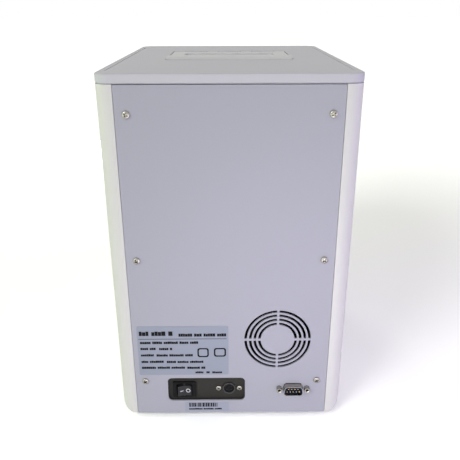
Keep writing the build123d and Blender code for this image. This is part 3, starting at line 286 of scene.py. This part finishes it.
def screenGlass():
    # Black-bordered glass; the display behind it, switched off, is a shade paler.
    look = Look("screenGlass", {"IOR": 1.45})
    low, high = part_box("touch_glass")
    middle = (low + high) / 2
    across, level = [look.node("ShaderNodeSeparateXYZ", {"outlet": axis}, look.coords()) for axis in "XZ"]
    halfWide = (high[0] - low[0]) / 2 - display["border"] * mm
    halfHigh = (high[2] - low[2]) / 2 - display["chin"] * mm
    inside = (abs(across - middle[0]) < halfWide) * (abs(level - middle[2]) < halfHigh)
    least, panel, smear = display["roughness"]
    look.paint(Base_Color=look.blend(inside, display["mask"], display["panel"]),
               Roughness=least + inside * panel + look.noise(display["smears"]) * smear)
    return look


boardMask = {"runs": 210.0, "runWidth": 0.22, "mask": (0.012, 0.10, 0.045), "copper": (0.03, 0.19, 0.085),
             "roughness": (0.34, 0.08), "bump": (0.2, 0.00005)}


def solderMask():
    # Green board with paler copper runs under the mask.
    look = Look("solderMask", {"Coat Weight": 0.4, "Coat Roughness": 0.2})
    cells = look.node("ShaderNodeTexVoronoi", {"feature": "F1", "distance": "CHEBYCHEV", "outlet": "Distance"},
                      Vector=look.coords(), Scale=boardMask["runs"])
    run = cells < boardMask["runWidth"]
    least, step = boardMask["roughness"]
    look.paint(Base_Color=look.blend(run, boardMask["mask"], boardMask["copper"]), Roughness=least + run * step)
    look.bump(run, *boardMask["bump"])
    return look


looks["belt"] = rubberLook("beltRubber", (0.012, 0.012, 0.012))
looks["foot"] = rubberLook("footRubber", (0.022, 0.022, 0.022))
looks["smoked"] = clearSheet("smokedSheet")
looks["screen"] = screenGlass()
looks["quartz"] = clearSheet("lampQuartz")
looks["board"] = solderMask()
print("finishes:", len(looks))


# node: finish, edge bevel in mm (0 keeps the edge crisp)
dressing = {
    "base_tray": ("sheet", 0.3), "left_side_shell": ("shell", 0.35), "right_side_shell": ("shell", 0.35),
    "rear_panel": ("panel", 0.0), "top_cover": ("cover", 0.0), "front_bezel": ("bezel", 0.35),
    "rubber_feet": ("foot", 0.5), "rear_panel_screws": ("nickel", 0.0), "rating_label": ("labelFilm", 0.0),
    "code_label": ("codeFilm", 0.0), "touch_glass": ("screen", 0.25), "display_module": ("sheet", 0.2),
    "door_hinge_pins": ("ground", 0.1), "handle_hinge_pin": ("ground", 0.1), "left_frame_plate": ("sheet", 0.2),
    "right_frame_plate": ("sheet", 0.2), "gantry_plate": ("sheet", 0.2), "uv_lamp": ("quartz", 0.0),
    "lamp_holders": ("holder", 0.3), "board_standoffs": ("nickel", 0.1), "control_board": ("board", 0.0),
    "board_components": ("parts", 0.15), "power_plate": ("dish", 0.0), "switch_housing": ("black", 0.25),
    "jack_body": ("jackRim", 0.2), "jack_insert": ("black", 0.0), "jack_screws": ("nickel", 0.0),
    "serial_shell": ("nickel", 0.0), "serial_insulator": ("insulator", 0.0), "serial_pins": ("gold", 0.0),
    "serial_jackscrews": ("nickel", 0.0), "fan_housing": ("fan", 0.0), "fan_studs": ("nickel", 0.0),
    "carriage_rails": ("ground", 0.0), "rail_blocks": ("milled", 0.3), "timing_belt": ("belt", 0.0),
    "idler_axle": ("ground", 0.15), "index_motor": ("motor", 0.3), "lift_shafts": ("ground", 0.0),
    "lift_shaft_blocks": ("milled", 0.3), "lift_motor": ("motor", 0.3), "carry_handle": ("handle", 0.0),
    "door_window": ("smoked", 0.25), "door_grip": ("grip", 0.3), "rocker": ("rockerBlack", 0.25),
    "fan_rotor": ("fan", 0.0), "plate_deck": ("anodised", 0.25), "carriage_bushes": ("bush", 0.2),
    "heating_bars": ("milled", 0.15), "index_pulley": ("milled", 0.0), "idler_pulley": ("milled", 0.0),
    "lift_screw": ("ground", 0.0), "comb_carriage": ("milled", 0.3), "comb_bushes": ("bush", 0.2),
    "comb_holder": ("anodised", 0.25), "magnet_guides": ("ground", 0.0), "magnet_motor": ("motor", 0.3),
    "magnet_screw": ("ground", 0.0), "magnet_block": ("milled", 0.3), "magnet_rods": ("magnet", 0.0),
}
edgeWork = {"crease": 32.0, "flat": 0.4, "weld": 0.002, "segments": 2}  # degrees, degrees, mm, count


def softenEdges(thing, width):
    bevel = thing.modifiers.new("edges", "BEVEL")
    bevel.width = width * mm
    bevel.segments = edgeWork["segments"]
    bevel.limit_method = "ANGLE"
    bevel.angle_limit = radians(edgeWork["crease"])
    bevel.use_clamp_overlap = True
    bevel.harden_normals = False
    normals = thing.modifiers.new("normals", "WEIGHTED_NORMAL")
    normals.keep_sharp = True


def splitEdges(thing):
    split = thing.modifiers.new("creases", "EDGE_SPLIT")
    split.split_angle = radians(edgeWork["crease"])
    split.use_edge_sharp = False


def dress(name, finish, edge):
    node = nodes[name]
    node.data.materials.clear()
    node.data.materials.append(looks[finish].material)
    for face in node.data.polygons:
        face.use_smooth = True
        face.material_index = 0
    weld = node.modifiers.new("weld", "WELD")
    weld.merge_threshold = edgeWork["weld"] * mm
    if edge:
        flat = node.modifiers.new("flat faces", "DECIMATE")
        flat.decimate_type = "DISSOLVE"
        flat.angle_limit = radians(edgeWork["flat"])
        softenEdges(node, edge)
    else:
        splitEdges(node)


for name, (finish, edge) in dressing.items():
    dress(name, finish, edge)
print("nodes dressed:", len(dressing), "of", len(nodes))


class Shape:
    # Collects turned, extruded and swept forms, then becomes one piece.
    def __init__(self):
        self.bm = bmesh.new()

    def rings(self, rings, where=Matrix(), caps=(True, True)):
        # Bridges equal rings of points, one after another; points are in metres.
        count = len(rings[0])
        last = (len(rings) - 1) * count
        loops = []
        for row in range(0, last, count):
            for i in range(count):
                j = (i + 1) % count
                loops.append((row + i, row + j, row + count + j, row + count + i))
        if caps[0]:
            loops.append(tuple(reversed(range(count))))
        if caps[1]:
            loops.append(tuple(range(last, last + count)))
        made = [self.bm.verts.new(where @ Vector(p)) for ring in rings for p in ring]
        for loop in loops:
            self.bm.faces.new([made[i] for i in loop]).smooth = True
        return self

    def turned(self, profile, where=Matrix(), steps=32, caps=(True, True)):
        # Spins pairs of radius and height in mm about local Z.
        turns = [2 * pi * i / steps for i in range(steps)]
        return self.rings([[(r * cos(turn), r * sin(turn), z) for turn in turns] for r, z in scaled(profile)],
                          where, caps)

    def prism(self, outline, low, high, where):
        return self.rings([[(x, y, z) for x, y in outline] for z in (low, high)], where)

    def slab(self, size, where):
        # A block whose sides are in mm, about its middle.
        x, y, z = (side * mm / 2 for side in size)
        return self.prism([(-x, -y), (x, -y), (x, y), (-x, y)], -z, z, where)

    def copy(self, mesh, where=Matrix()):
        verts, faces = set(self.bm.verts), set(self.bm.faces)
        self.bm.from_mesh(mesh)
        for face in self.bm.faces:
            if face not in faces:
                face.material_index = 0
                face.smooth = True
        bmesh.ops.transform(self.bm, matrix=where, verts=[v for v in self.bm.verts if v not in verts])
        return self

    def mesh(self, name):
        bmesh.ops.recalc_face_normals(self.bm, faces=self.bm.faces)
        made = bpy.data.meshes.new(name)
        self.bm.to_mesh(made)
        return made

    def place(self, name, finish, body, edge=0.0, slotName=None):
        made = bpy.data.objects.new(name, self.mesh(name))
        made.data.materials.append(looks[finish].material)
        bpy.context.scene.collection.objects.link(made)
        if edge:
            softenEdges(made, edge)
        else:
            splitEdges(made)
        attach(made, body)
        return made


def carve(base, cutter):
    # Cuts one mesh out of another, once, and returns what is left as a new mesh.
    pair = [bpy.data.objects.new("carve" + tag, mesh) for tag, mesh in (("Base", base), ("Cutter", cutter))]
    for thing in pair:
        bpy.context.scene.collection.objects.link(thing)
    cut = pair[0].modifiers.new("cut", "BOOLEAN")
    cut.operation = "DIFFERENCE"
    cut.solver = "EXACT"
    cut.object = pair[1]
    graph = bpy.context.evaluated_depsgraph_get()
    made = bpy.data.meshes.new_from_object(pair[0].evaluated_get(graph))
    for thing in pair:
        bpy.data.objects.remove(thing)
    return made


leans = {"up": Matrix(), "rear": Matrix.Rotation(-pi / 2, 4, "X"), "down": Matrix.Rotation(pi, 4, "X")}


def at(x, y, z, facing="up", turn=0.0):
    # A place in metres from millimetres; `facing` says where the local +Z points.
    return Matrix.Translation((x * mm, y * mm, z * mm)) @ leans[facing] @ Matrix.Rotation(turn, 4, "Z")


def scaled(points):
    return [tuple(c * mm for c in p) for p in points]


def roundedBox(wide, high, radius, steps=6):
    outline = []
    for quarter, (sx, sy) in enumerate(((1, 1), (-1, 1), (-1, -1), (1, -1))):
        cx, cy = sx * (wide / 2 - radius), sy * (high / 2 - radius)
        for i in range(steps + 1):
            turn = (quarter + i / steps) * pi / 2
            outline.append((cx + radius * cos(turn), cy + radius * sin(turn)))
    return scaled(outline)


def box(node):
    low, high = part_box(node)
    return low / mm, high / mm


# Parts of the radius or the height, apart from the shank, which is its radius and its two ends in mm.
crossScrew = {"dome": 0.55, "crown": 0.35, "foot": (0.97, 0.12), "armWidth": 0.34, "armReach": 1.2, "recess": 0.9,
              "taper": (0.55, 0.7), "clear": 1.3, "domeSteps": 8, "steps": 40, "shank": (1.2, -2.6, 0.1)}


def crossScrewHead(radius, height):
    # Pan head with a cross recess, its seat at local z = 0.
    dome, crown, steps = crossScrew["dome"], crossScrew["crown"], crossScrew["domeSteps"]
    footRadius, footHeight = crossScrew["foot"]
    profile = [(radius * footRadius, 0.0), (radius, height * footHeight), (radius, height * (1 - dome))]
    for i in range(1, steps):
        turn = i / steps * pi / 2
        profile.append((radius * (crown + (1 - crown) * cos(turn)), height * (1 - dome + dome * sin(turn))))
    profile += [(radius * crown, height), (radius * 0.01, height * 1.02)]
    head = Shape().turned(profile, steps=crossScrew["steps"]).mesh("screwHead")
    half = radius * crossScrew["armWidth"] / 2
    reach = radius * crossScrew["armReach"] / 2
    arms = []
    for quarter in range(4):
        turn = quarter * pi / 2
        for x, y in ((reach, -half), (reach, half), (half, half)):
            arms.append((x * cos(turn) - y * sin(turn), x * sin(turn) + y * cos(turn)))
    short, narrow = crossScrew["taper"]
    bottom = height * (1 - crossScrew["recess"])
    cutter = Shape().rings([scaled([(x * short, y * narrow, bottom) for x, y in arms]),
                            scaled([(x, y, height) for x, y in arms]),
                            scaled([(x, y, height * crossScrew["clear"]) for x, y in arms])])
    return carve(head, cutter.mesh("recess"))


def screwSet(name, node, radius, height, places, dice):
    # Pan-head screws, each turned to wherever it came tight.
    shape = Shape()
    head = crossScrewHead(radius, height)
    shankRadius, shankEnd, shankTop = crossScrew["shank"]
    for x, y, z in places:
        shape.copy(head, at(x, y, z, "rear", dice.uniform(0, pi / 2)))
        shape.turned([(shankRadius, shankEnd), (shankRadius, shankTop)], at(x, y, z, "rear"), 16)
    made = shape.place(name, "nickel", "housing", slotName="nickel")
    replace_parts(made, node)


panelScrew = {"radius": 3.0, "height": 1.9}
jackScrew = {"radius": 2.5, "height": 1.6}
rearY = box("rear_panel")[1][1]


def placeScrews():
    dice = Random(16)
    radius, height = panelScrew["radius"], panelScrew["height"]
    low, high = box("rear_panel_screws")
    rows = (low[2] + radius, (low[2] + high[2]) / 2, high[2] - radius)
    places = [(x, rearY, z) for x in (low[0] + radius, high[0] - radius) for z in rows]
    screwSet("panel_screw_heads", "rear_panel_screws", radius, height, places, dice)
    radius, height = jackScrew["radius"], jackScrew["height"]
    low, high = box("jack_screws")
    places = [(x, high[1] - height, (low[2] + high[2]) / 2) for x in (low[0] + radius, high[0] - radius)]
    screwSet("jack_screw_heads", "jack_screws", radius, height, places, dice)


placeScrews()
print("screws placed")


handleOpening = {"wide": 87.0, "long": 50.0, "corner": 4.0, "grip": 17.0, "depth": 40.0, "edge": 0.35}


def handlePlate():
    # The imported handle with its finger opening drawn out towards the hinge.
    low, high = box("carry_handle")
    h = handleOpening
    middle = at(0.0, high[1] - h["grip"] - h["long"] / 2, (low[2] + high[2]) / 2)
    half = h["depth"] * mm / 2
    cutter = Shape().prism(roundedBox(h["wide"], h["long"], h["corner"]), -half, half, middle)
    plate = carve(Shape().copy(nodes["carry_handle"].data).mesh("handleCopy"), cutter.mesh("fingers"))
    piece = Shape().copy(plate).place("handle_plate", "handle", "handle", h["edge"], slotName="handle_plastic")
    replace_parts(piece, "carry_handle")


handlePlate()
print("handle shaped")


# Rows as seen from behind, left edge first: (from x, to x, height of the row's middle, letter height) in mm.
ratingPrint = {
    "rows": [(79.6, 50.4, 88.8, 4.4), (45.4, 4.1, 87.2, 3.0), (79.2, 26.8, 79.6, 2.5), (79.2, 65.2, 73.4, 2.3),
             (62.9, 50.7, 73.2, 2.3), (79.2, 67.8, 66.8, 2.3), (65.5, 33.6, 66.6, 2.3), (79.1, 58.1, 60.0, 2.3),
             (56.8, 23.7, 59.7, 2.3), (79.1, 40.2, 53.7, 2.3), (38.9, 22.9, 53.4, 2.3), (31.8, 24.6, 48.5, 2.0),
             (22.0, 18.8, 48.5, 2.0), (16.8, 8.0, 48.4, 2.0)],
    "rule": (80.4, 3.8, 83.3, 0.45), "thick": 0.03,
    # middle, size; then line width and corner radius
    "frames": [(24.5, 69.2, 10.0, 9.4), (9.7, 69.4, 10.6, 9.0)], "frameLine": 1.3, "frameCorner": 2.2,
}
codePrint = {"bars": (38.4, 12.0, 10.6, 15.1), "thin": 0.34, "wide": 1.3, "row": (38.7, 8.7, 8.3, 1.7)}
# Word lengths and gaps in mm, the rest in parts of the letter height.
blockLetters = {"word": 9.5, "wordSpread": (0.6, 1.4), "wordGap": 1.2, "gapHeight": 2.3, "wide": 0.74,
                "wideSpread": (0.7, 1.15), "tall": (0.85, 0.9, 1.0, 1.0), "gap": 0.05, "least": 0.3}


def printRow(shape, row, faceY, dice):
    # Plain blocks in word-length groups: the grey of small print, without lettering.
    x, toX, z, high = row
    b = blockLetters
    wordEnd = x - b["word"] * dice.uniform(*b["wordSpread"])
    while x > toX + high * b["least"]:
        wide = high * b["wide"] * dice.uniform(*b["wideSpread"])
        tall = high * dice.choice(b["tall"])
        wide = min(wide, x - toX)
        drop = (high - tall) / 2
        shape.slab((wide, tall, ratingPrint["thick"]), at(x - wide / 2, faceY, z - drop, "rear"))
        x -= wide + high * b["gap"]
        if x < wordEnd:
            x -= b["wordGap"] * high / b["gapHeight"]
            wordEnd = x - b["word"] * dice.uniform(*b["wordSpread"])


def printFrame(shape, x, z, wide, high, faceY):
    # A plain rounded frame, hollow in the middle.
    line, corner, half = ratingPrint["frameLine"], ratingPrint["frameCorner"], ratingPrint["thick"] * mm / 2
    outer = roundedBox(wide, high, corner)
    inner = roundedBox(wide - 2 * line, high - 2 * line, corner - line * 0.6)
    loops = ((outer, -half), (outer, half), (inner, half), (inner, -half), (outer, -half))
    shape.rings([[(px, py, level) for px, py in ring] for ring, level in loops], at(x, faceY, z, "rear"),
                caps=(False, False))


def printLabels():
    dice = Random(4)
    thick = ratingPrint["thick"]
    face = box("rating_label")[1][1] + thick / 2
    shape = Shape()
    for row in ratingPrint["rows"]:
        printRow(shape, row, face, dice)
    fromX, toX, z, line = ratingPrint["rule"]
    shape.slab((fromX - toX, line, thick), at((fromX + toX) / 2, face, z, "rear"))
    for frameSize in ratingPrint["frames"]:
        printFrame(shape, *frameSize, face)
    shape.place("rating_label_print", "ink", "housing")
    face = box("code_label")[1][1] + thick / 2
    shape = Shape()
    x, end, low, high = codePrint["bars"]
    thin, broad = codePrint["thin"], codePrint["wide"]
    while x > end:
        wide = dice.choice((thin, broad * 0.6, broad, broad))
        shape.slab((wide, high - low, thick), at(x - wide / 2, face, (low + high) / 2, "rear"))
        x -= wide + dice.choice((thin, thin * 1.5))
    printRow(shape, codePrint["row"], face, dice)
    shape.place("code_label_print", "ink", "housing")


printLabels()
print("labels printed")


# The bar is (wide, high) and the ring (outer, inner radius).
# `axisIn` is how far the rocker's axis lies in front of the power plate's rear face.
rockerMark = {"tilt": 8.0, "dish": 1.3, "proud": 3.2, "half": 6.3, "rim": 0.4, "axisIn": 0.7, "along": 2.9,
              "bar": (3.0, 0.7), "ring": (2.0, 1.35), "thick": 0.04, "steps": 36}


def markRocker():
    # A bar on the raised face and a ring on the pressed one.
    low, high = box("rocker")
    m = rockerMark
    axis = Matrix.Translation(((low[0] + high[0]) / 2 * mm, (box("power_plate")[1][1] - m["axisIn"]) * mm,
                               (low[2] + high[2]) / 2 * mm)) @ Matrix.Rotation(radians(m["tilt"]), 4, "Z")
    flat = m["half"] - m["rim"]
    slope = atan2(m["dish"], flat)
    half = m["thick"] / 2
    out = m["proud"] - m["dish"] * (1 - m["along"] / flat) + half
    shape = Shape()
    for side in (1, -1):
        face = Matrix.Translation((side * m["along"] * mm, out * mm, 0)) @ Matrix.Rotation(side * slope, 4, "Z")
        place = axis @ face @ Matrix.Rotation(-pi / 2, 4, "X")
        if side > 0:
            shape.slab((*m["bar"], m["thick"]), place)
        else:
            outer, inner = m["ring"]
            profile = [(outer, -half), (outer, half), (inner, half), (inner, -half), (outer, -half)]
            shape.turned(profile, place, m["steps"], caps=(False, False))
    shape.place("rocker_marks", "white", "switch_rocker")


def quarterRound(radius, tall, steps, foot=0.0):
    # The profile of a dome, from its rim to its crown.
    turns = [i / steps * pi / 2 for i in range(steps + 1)]
    return [(radius * cos(turn) + 0.01, foot + tall * sin(turn)) for turn in turns]


pinRows = {"pitch": 2.77, "row": 2.84, "radius": 0.5, "tipSteps": 5, "counts": (5, 4)}


def serialPins():
    low, high = box("serial_pins")
    x, z = (low[0] + high[0]) / 2, (low[2] + high[2]) / 2
    shape = Shape()
    r = pinRows["radius"]
    length = high[1] - low[1]
    profile = [(r, 0.0)] + quarterRound(r, r, pinRows["tipSteps"], length - r)
    for side, count in zip((-0.5, 0.5), pinRows["counts"]):
        for place in range(count):
            along = x + (place - (count - 1) / 2) * pinRows["pitch"]
            shape.turned(profile, at(along, low[1], z + side * pinRows["row"], "rear"), 14)
    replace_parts(shape.place("contact_pins", "gold", "housing", slotName="pin_gold"), "serial_pins")


hexPost = {"radius": 2.75, "seat": (0.97, 0.25), "crown": 0.86, "chamfer": 0.5, "bore": 1.42, "mouth": 0.35,
           "threadStart": 0.3, "threadPitch": 0.6, "threadDepth": 0.14, "boreDepth": 3.9,
           "shank": (1.4, -3.8, 0.1)}


def hexRing(radius, limit, height, steps=48):
    # A hexagon whose corners are cut back to a circle.
    ring = []
    for i in range(steps):
        turn = 2 * pi * i / steps
        flat = radius * cos(pi / 6) / cos((turn % (pi / 3)) - pi / 6)
        reach = min(flat, limit)
        ring.append((reach * cos(turn), reach * sin(turn), height))
    return ring


def jackScrewPosts():
    # Hexagonal posts with a threaded bore.
    low, high = box("serial_jackscrews")
    shape = Shape()
    h = hexPost
    r, bore = h["radius"], h["bore"]
    length = high[1] - rearY
    z = (low[2] + high[2]) / 2
    seatRadius, seatHeight = h["seat"]
    shankRadius, shankEnd, shankTop = h["shank"]
    for x in (low[0] + r, high[0] - r):
        rings = [hexRing(r, r * seatRadius, 0.0), hexRing(r, r, seatHeight), hexRing(r, r, length - h["chamfer"]),
                 hexRing(r, r * h["crown"], length), hexRing(bore + h["mouth"], bore + h["mouth"], length)]
        for i in range(int(h["boreDepth"] / h["threadPitch"] * 2)):
            radius = bore + (h["threadDepth"] if i % 2 else 0.0)
            rings.append(hexRing(radius, radius, length - h["threadStart"] - i * h["threadPitch"] / 2))
        shape.rings([scaled(ring) for ring in rings], at(x, rearY, z, "rear", pi / 6))
        shape.turned([(shankRadius, shankEnd), (shankRadius, shankTop)], at(x, rearY, z, "rear"), 20)
    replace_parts(shape.place("serial_hex_posts", "nickel", "housing", slotName="nickel"), "serial_jackscrews")


shellBump = {"radius": 0.95, "tall": 0.28, "pitch": 4.4, "out": 3.0, "rise": 4.68}


def shellBumps():
    # Small pressed bumps along the top and bottom of the plug shell, which grip the mating shell.
    low, high = box("serial_shell")
    x = (low[0] + high[0]) / 2
    low, high = box("serial_pins")
    z = (low[2] + high[2]) / 2
    shape = Shape()
    profile = quarterRound(shellBump["radius"], shellBump["tall"], 5)
    for side, facing in ((1, "up"), (-1, "down")):
        for place in (-1, 0, 1):
            along = x + place * shellBump["pitch"]
            shape.turned(profile, at(along, rearY + shellBump["out"], z + side * shellBump["rise"], facing), 18)
    shape.place("serial_shell_bumps", "nickel", "housing")


roundJack = {"circle": 2.5, "sleeve": 0.72, "hole": 0.42, "sink": 0.35, "depth": 3.0}


def jackSleeves():
    # Four sleeve contacts a little below the insulator's face, in near-black plastic as painted shade inside the
    # holes.
    low, high = box("jack_insert")
    x, z = (low[0] + high[0]) / 2, (low[2] + high[2]) / 2
    shape = Shape()
    j = roundJack
    outer, inner, top, bottom = j["sleeve"], j["hole"], -j["sink"], -j["depth"]
    for quarter in range(4):
        turn = pi / 4 + quarter * pi / 2
        place = at(x + j["circle"] * cos(turn), high[1], z + j["circle"] * sin(turn), "rear")
        profile = [(outer, bottom), (outer, top), (inner, top), (inner, bottom)]
        shape.turned(profile, place, 18, caps=(False, False))
    # Painted shade: the contacts take a near-black finish so that the holes read dark.
    shape.place("jack_contacts_painted_dark", "parts", "housing")


markRocker()
serialPins()
jackScrewPosts()
shellBumps()
jackSleeves()
print("connectors detailed")


leadScrews = {
    # node: (piece, body, core depth in mm, lead in mm, starts)
    "lift_screw": ("lift_screw_thread", "lift_leadscrew", 0.9, 8.0, 4),
    "magnet_screw": ("magnet_screw_thread", "magnet_leadscrew", 0.7, 6.0, 3),
}


# Points round the rod, rows to each pitch, and the width and steepness of the crest.
threadForm = {"around": 28, "rows": 8, "crest": 2.2, "flank": 7.0}


def threadedRod(node):
    # Trapezoid thread: the radius is worked out from height and angle on a fine grid.
    name, body, depth, lead, starts = leadScrews[node]
    low, high = box(node)
    x, y = (low[0] + high[0]) / 2, (low[1] + high[1]) / 2
    radius = (high[0] - low[0]) / 2
    pitch = lead / starts
    length = high[2] - low[2]
    rows = int(length / (pitch / threadForm["rows"]))
    rings = []
    for row in range(rows + 1):
        z = low[2] + length * row / rows
        ring = []
        for i in range(threadForm["around"]):
            turn = i / threadForm["around"]
            phase = ((z - low[2]) / pitch - turn * starts) % 1.0
            rise = max(0.0, min(1.0, threadForm["crest"] - abs(phase - 0.5) * threadForm["flank"]))
            r = radius - depth * (1 - rise)
            ring.append((r * cos(2 * pi * turn), r * sin(2 * pi * turn), z))
        rings.append(scaled(ring))
    shape = Shape().rings(rings, Matrix.Translation((x * mm, y * mm, 0)))
    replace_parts(shape.place(name, "ground", body, slotName="ground_steel"), node)


beltTeeth = {"pitch": 2.0, "tooth": 0.75, "radius": 6.37, "thick": 1.4}


def toothedBelt():
    # Sections along the loop, four to each tooth: two thick ones and two thin ones.
    low, high = box("timing_belt")
    r, half = beltTeeth["radius"], beltTeeth["thick"] / 2
    straight = (high[1] - low[1]) - 2 * r - beltTeeth["thick"]
    front, z = low[1] + r + half, (low[2] + high[2]) / 2
    bend = pi * r
    loop = 2 * (straight + bend)
    count = round(loop / beltTeeth["pitch"]) * 4
    sections = []
    for i in range(count):
        s = i / count * loop
        inner = half if i % 4 in (0, 1) else half - beltTeeth["tooth"]
        if s < straight:
            turn, y = 0.0, front + s
        elif s < straight + bend:
            turn, y = (s - straight) / r, front + straight
        elif s < 2 * straight + bend:
            turn, y = pi, front + 2 * straight + bend - s
        else:
            turn, y = (s - 2 * straight) / r, front
        out = (sin(turn), cos(turn))
        sections.append([(x, y + out[0] * (r + d), z + out[1] * (r + d))
                         for x, d in ((low[0], -inner), (high[0], -inner), (high[0], half), (low[0], half))])
    sections.append(sections[0])
    shape = Shape().rings([scaled(ring) for ring in sections], caps=(False, False))
    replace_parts(shape.place("toothed_belt", "belt", "housing", slotName="belt_rubber"), "timing_belt")


motorCaps = {
    # node: (piece, body, axis of the shaft, cap thickness)
    "lift_motor": ("lift_motor_caps", "housing", 2, 9.0),
    "magnet_motor": ("magnet_motor_caps", "comb_lift_frame", 2, 7.0),
    "index_motor": ("index_motor_caps", "housing", 0, 5.5),
}


capForm = {"proud": 0.3, "corner": 4.0, "inset": 0.05, "edge": 0.4}


def addMotorCaps(node):
    # Cast end caps, cut off at the corners, that stand a hair proud of the black laminations.
    name, body, axis, thick = motorCaps[node]
    low, high = box(node)
    middle = (low + high) / 2
    wide, tall = [high[i] - low[i] + capForm["proud"] for i in range(3) if i != axis]
    cut = capForm["corner"]
    outline = [(sx * (wide / 2 - dx), sy * (tall / 2 - dy)) for sx, sy, dx, dy in (
        (1, -1, 0, cut), (1, 1, 0, cut), (1, 1, cut, 0), (-1, 1, cut, 0), (-1, 1, 0, cut), (-1, -1, 0, cut),
        (-1, -1, cut, 0), (1, -1, cut, 0))]
    shape = Shape()
    for start in (low[axis] + capForm["inset"], high[axis] - thick):
        rings = []
        for level in (start, start + thick):
            if axis == 0:
                ring = [(level, middle[1] + p, middle[2] + q) for p, q in outline]
            else:
                ring = [(middle[0] + p, middle[1] + q, level) for p, q in outline]
            rings.append(scaled(ring))
        shape.rings(rings)
    shape.place(name, "milled", body, capForm["edge"])


for node in leadScrews:
    threadedRod(node)
toothedBelt()
for node in motorCaps:
    addMotorCaps(node)
print("mechanism detailed")


cameraPlace = {"x": 0.93, "fromRear": 423.55, "z": 353.26, "pitch": 22.637, "yaw": 0.466, "roll": -0.125,
               "focal": 569.16, "centreX": 233.61, "centreY": 239.46, "frame": 460.0, "sensor": 36.0}


def addCamera():
    p = cameraPlace
    pitch, yaw, roll = radians(p["pitch"]), radians(p["yaw"]), radians(p["roll"])
    ahead = Vector((-sin(yaw) * cos(pitch), -cos(yaw) * cos(pitch), -sin(pitch)))
    right = Vector((-cos(yaw), sin(yaw), 0.0))
    up = right.cross(ahead)
    across = right * cos(roll) + up * sin(roll)
    above = up * cos(roll) - right * sin(roll)
    data = bpy.data.cameras.new("camera")
    data.sensor_width = p["sensor"]
    data.lens = p["focal"] / p["frame"] * p["sensor"]
    data.shift_x = 0.5 - p["centreX"] / p["frame"]
    data.shift_y = p["centreY"] / p["frame"] - 0.5
    data.clip_start = 0.01
    camera = bpy.data.objects.new("camera", data)
    turn = Matrix((across, above, -ahead)).transposed().to_4x4()
    place = Vector((p["x"], rearY + p["fromRear"], p["z"])) * mm
    camera.matrix_world = Matrix.Translation(place) @ turn
    bpy.context.scene.collection.objects.link(camera)
    bpy.context.scene.camera = camera


aim = (0.0, 0.0, 0.15)
lamps = {
    # name: place in m, size in m, watts, colour
    "key": ((1.85, 2.20, 1.95), 1.5, 35.0, (1.0, 1.0, 1.0)),
    "bounce": ((-0.07, 0.40, 0.03), 0.3, 0.5, (0.86, 0.78, 0.95)),
    "lowFill": ((-0.40, 1.0, 0.12), 0.5, 0.55, (0.90, 1.0, 0.85)),
    "leftFill": ((1.3, 0.25, 0.24), 0.8, 2.1, (0.62, 1.0, 0.34)),
    "rightFill": ((-1.1, 0.36, 0.30), 0.5, 2.6, (0.60, 0.44, 1.0)),
    "frontFill": ((0.35, -1.0, 0.14), 0.3, 3.6, (1.0, 1.0, 1.0)),
}


def addLamps():
    for name, (place, size, watts, color) in lamps.items():
        data = bpy.data.lights.new(name, "AREA")
        data.shape = "DISK"
        data.size = size
        data.energy = watts
        data.color = color
        lamp = bpy.data.objects.new(name, data)
        lamp.location = place
        lamp.rotation_mode = "QUATERNION"
        lamp.rotation_quaternion = (Vector(aim) - Vector(place)).to_track_quat("-Z", "Y")
        bpy.context.scene.collection.objects.link(lamp)


surround = {"horizon": (0.02, 0.02, 0.02), "zenith": (0.43, 0.425, 0.39), "fade": 0.5}


def addSurround():
    # A soft dome for the light, plain white to the eye.
    world = bpy.data.worlds.new("surround")
    bpy.context.scene.world = world
    world.use_nodes = True
    sky = Graph(world.node_tree)
    ahead = sky.node("ShaderNodeTexCoord", {"outlet": "Generated"})
    height = sky.node("ShaderNodeSeparateXYZ", {"outlet": "Z"}, ahead)
    dome = sky.blend(height.orHigher(0.0) ** surround["fade"], surround["horizon"], surround["zenith"])
    shown = sky.node("ShaderNodeBackground", {}, sky.blend(sky.seenByEye(), dome, (1.0, 1.0, 1.0)))
    sky.feed(sky.tree.nodes["World Output"].inputs["Surface"], shown)


# The glare and the glow are only for the eye: the glow grows from `near` to `far`, in metres from the middle.
paperFloor = {"color": (0.82, 0.82, 0.82, 1.0), "glare": (0.82, 0.845, 0.81), "glow": (0.03, 0.6), "near": 0.45,
              "far": 1.5, "radius": 14000.0, "steps": 64}


def addFloor():
    # White paper that carries the shadow, over-exposed to the eye.
    profile = [(1.0, 0.0), (paperFloor["radius"], 0.0)]
    floor = Shape().turned(profile, steps=paperFloor["steps"], caps=(True, False)).mesh("floor")
    thing = bpy.data.objects.new("floor", floor)
    bpy.context.scene.collection.objects.link(thing)
    paper = Look("floorPaper", {"Base Color": paperFloor["color"], "Roughness": 0.9, "Specular IOR Level": 0.0})
    away = paper.node("ShaderNodeVectorMath", {"operation": "LENGTH", "outlet": "Value"}, paper.coords())
    strength = paper.node("ShaderNodeMapRange", {"interpolation_type": "SMOOTHSTEP"}, away, paperFloor["near"],
                          paperFloor["far"], *paperFloor["glow"])
    glow = paper.node("ShaderNodeEmission", {}, (1.0, 1.0, 1.0), strength)
    lit = Value(paper, paper.shader.outputs[0])
    glare = paper.node("ShaderNodeBsdfDiffuse", {}, paperFloor["glare"])
    bright = paper.node("ShaderNodeAddShader", {}, paper.node("ShaderNodeAddShader", {}, lit, glare), glow)
    shown = paper.node("ShaderNodeMixShader", {}, paper.seenByEye(), lit, bright)
    paper.feed(paper.tree.nodes["Material Output"].inputs["Surface"], shown)
    floor.materials.append(paper.material)


addCamera()
addLamps()
addSurround()
addFloor()
bpy.context.scene.view_settings.view_transform = "Standard"
print("stage ready")
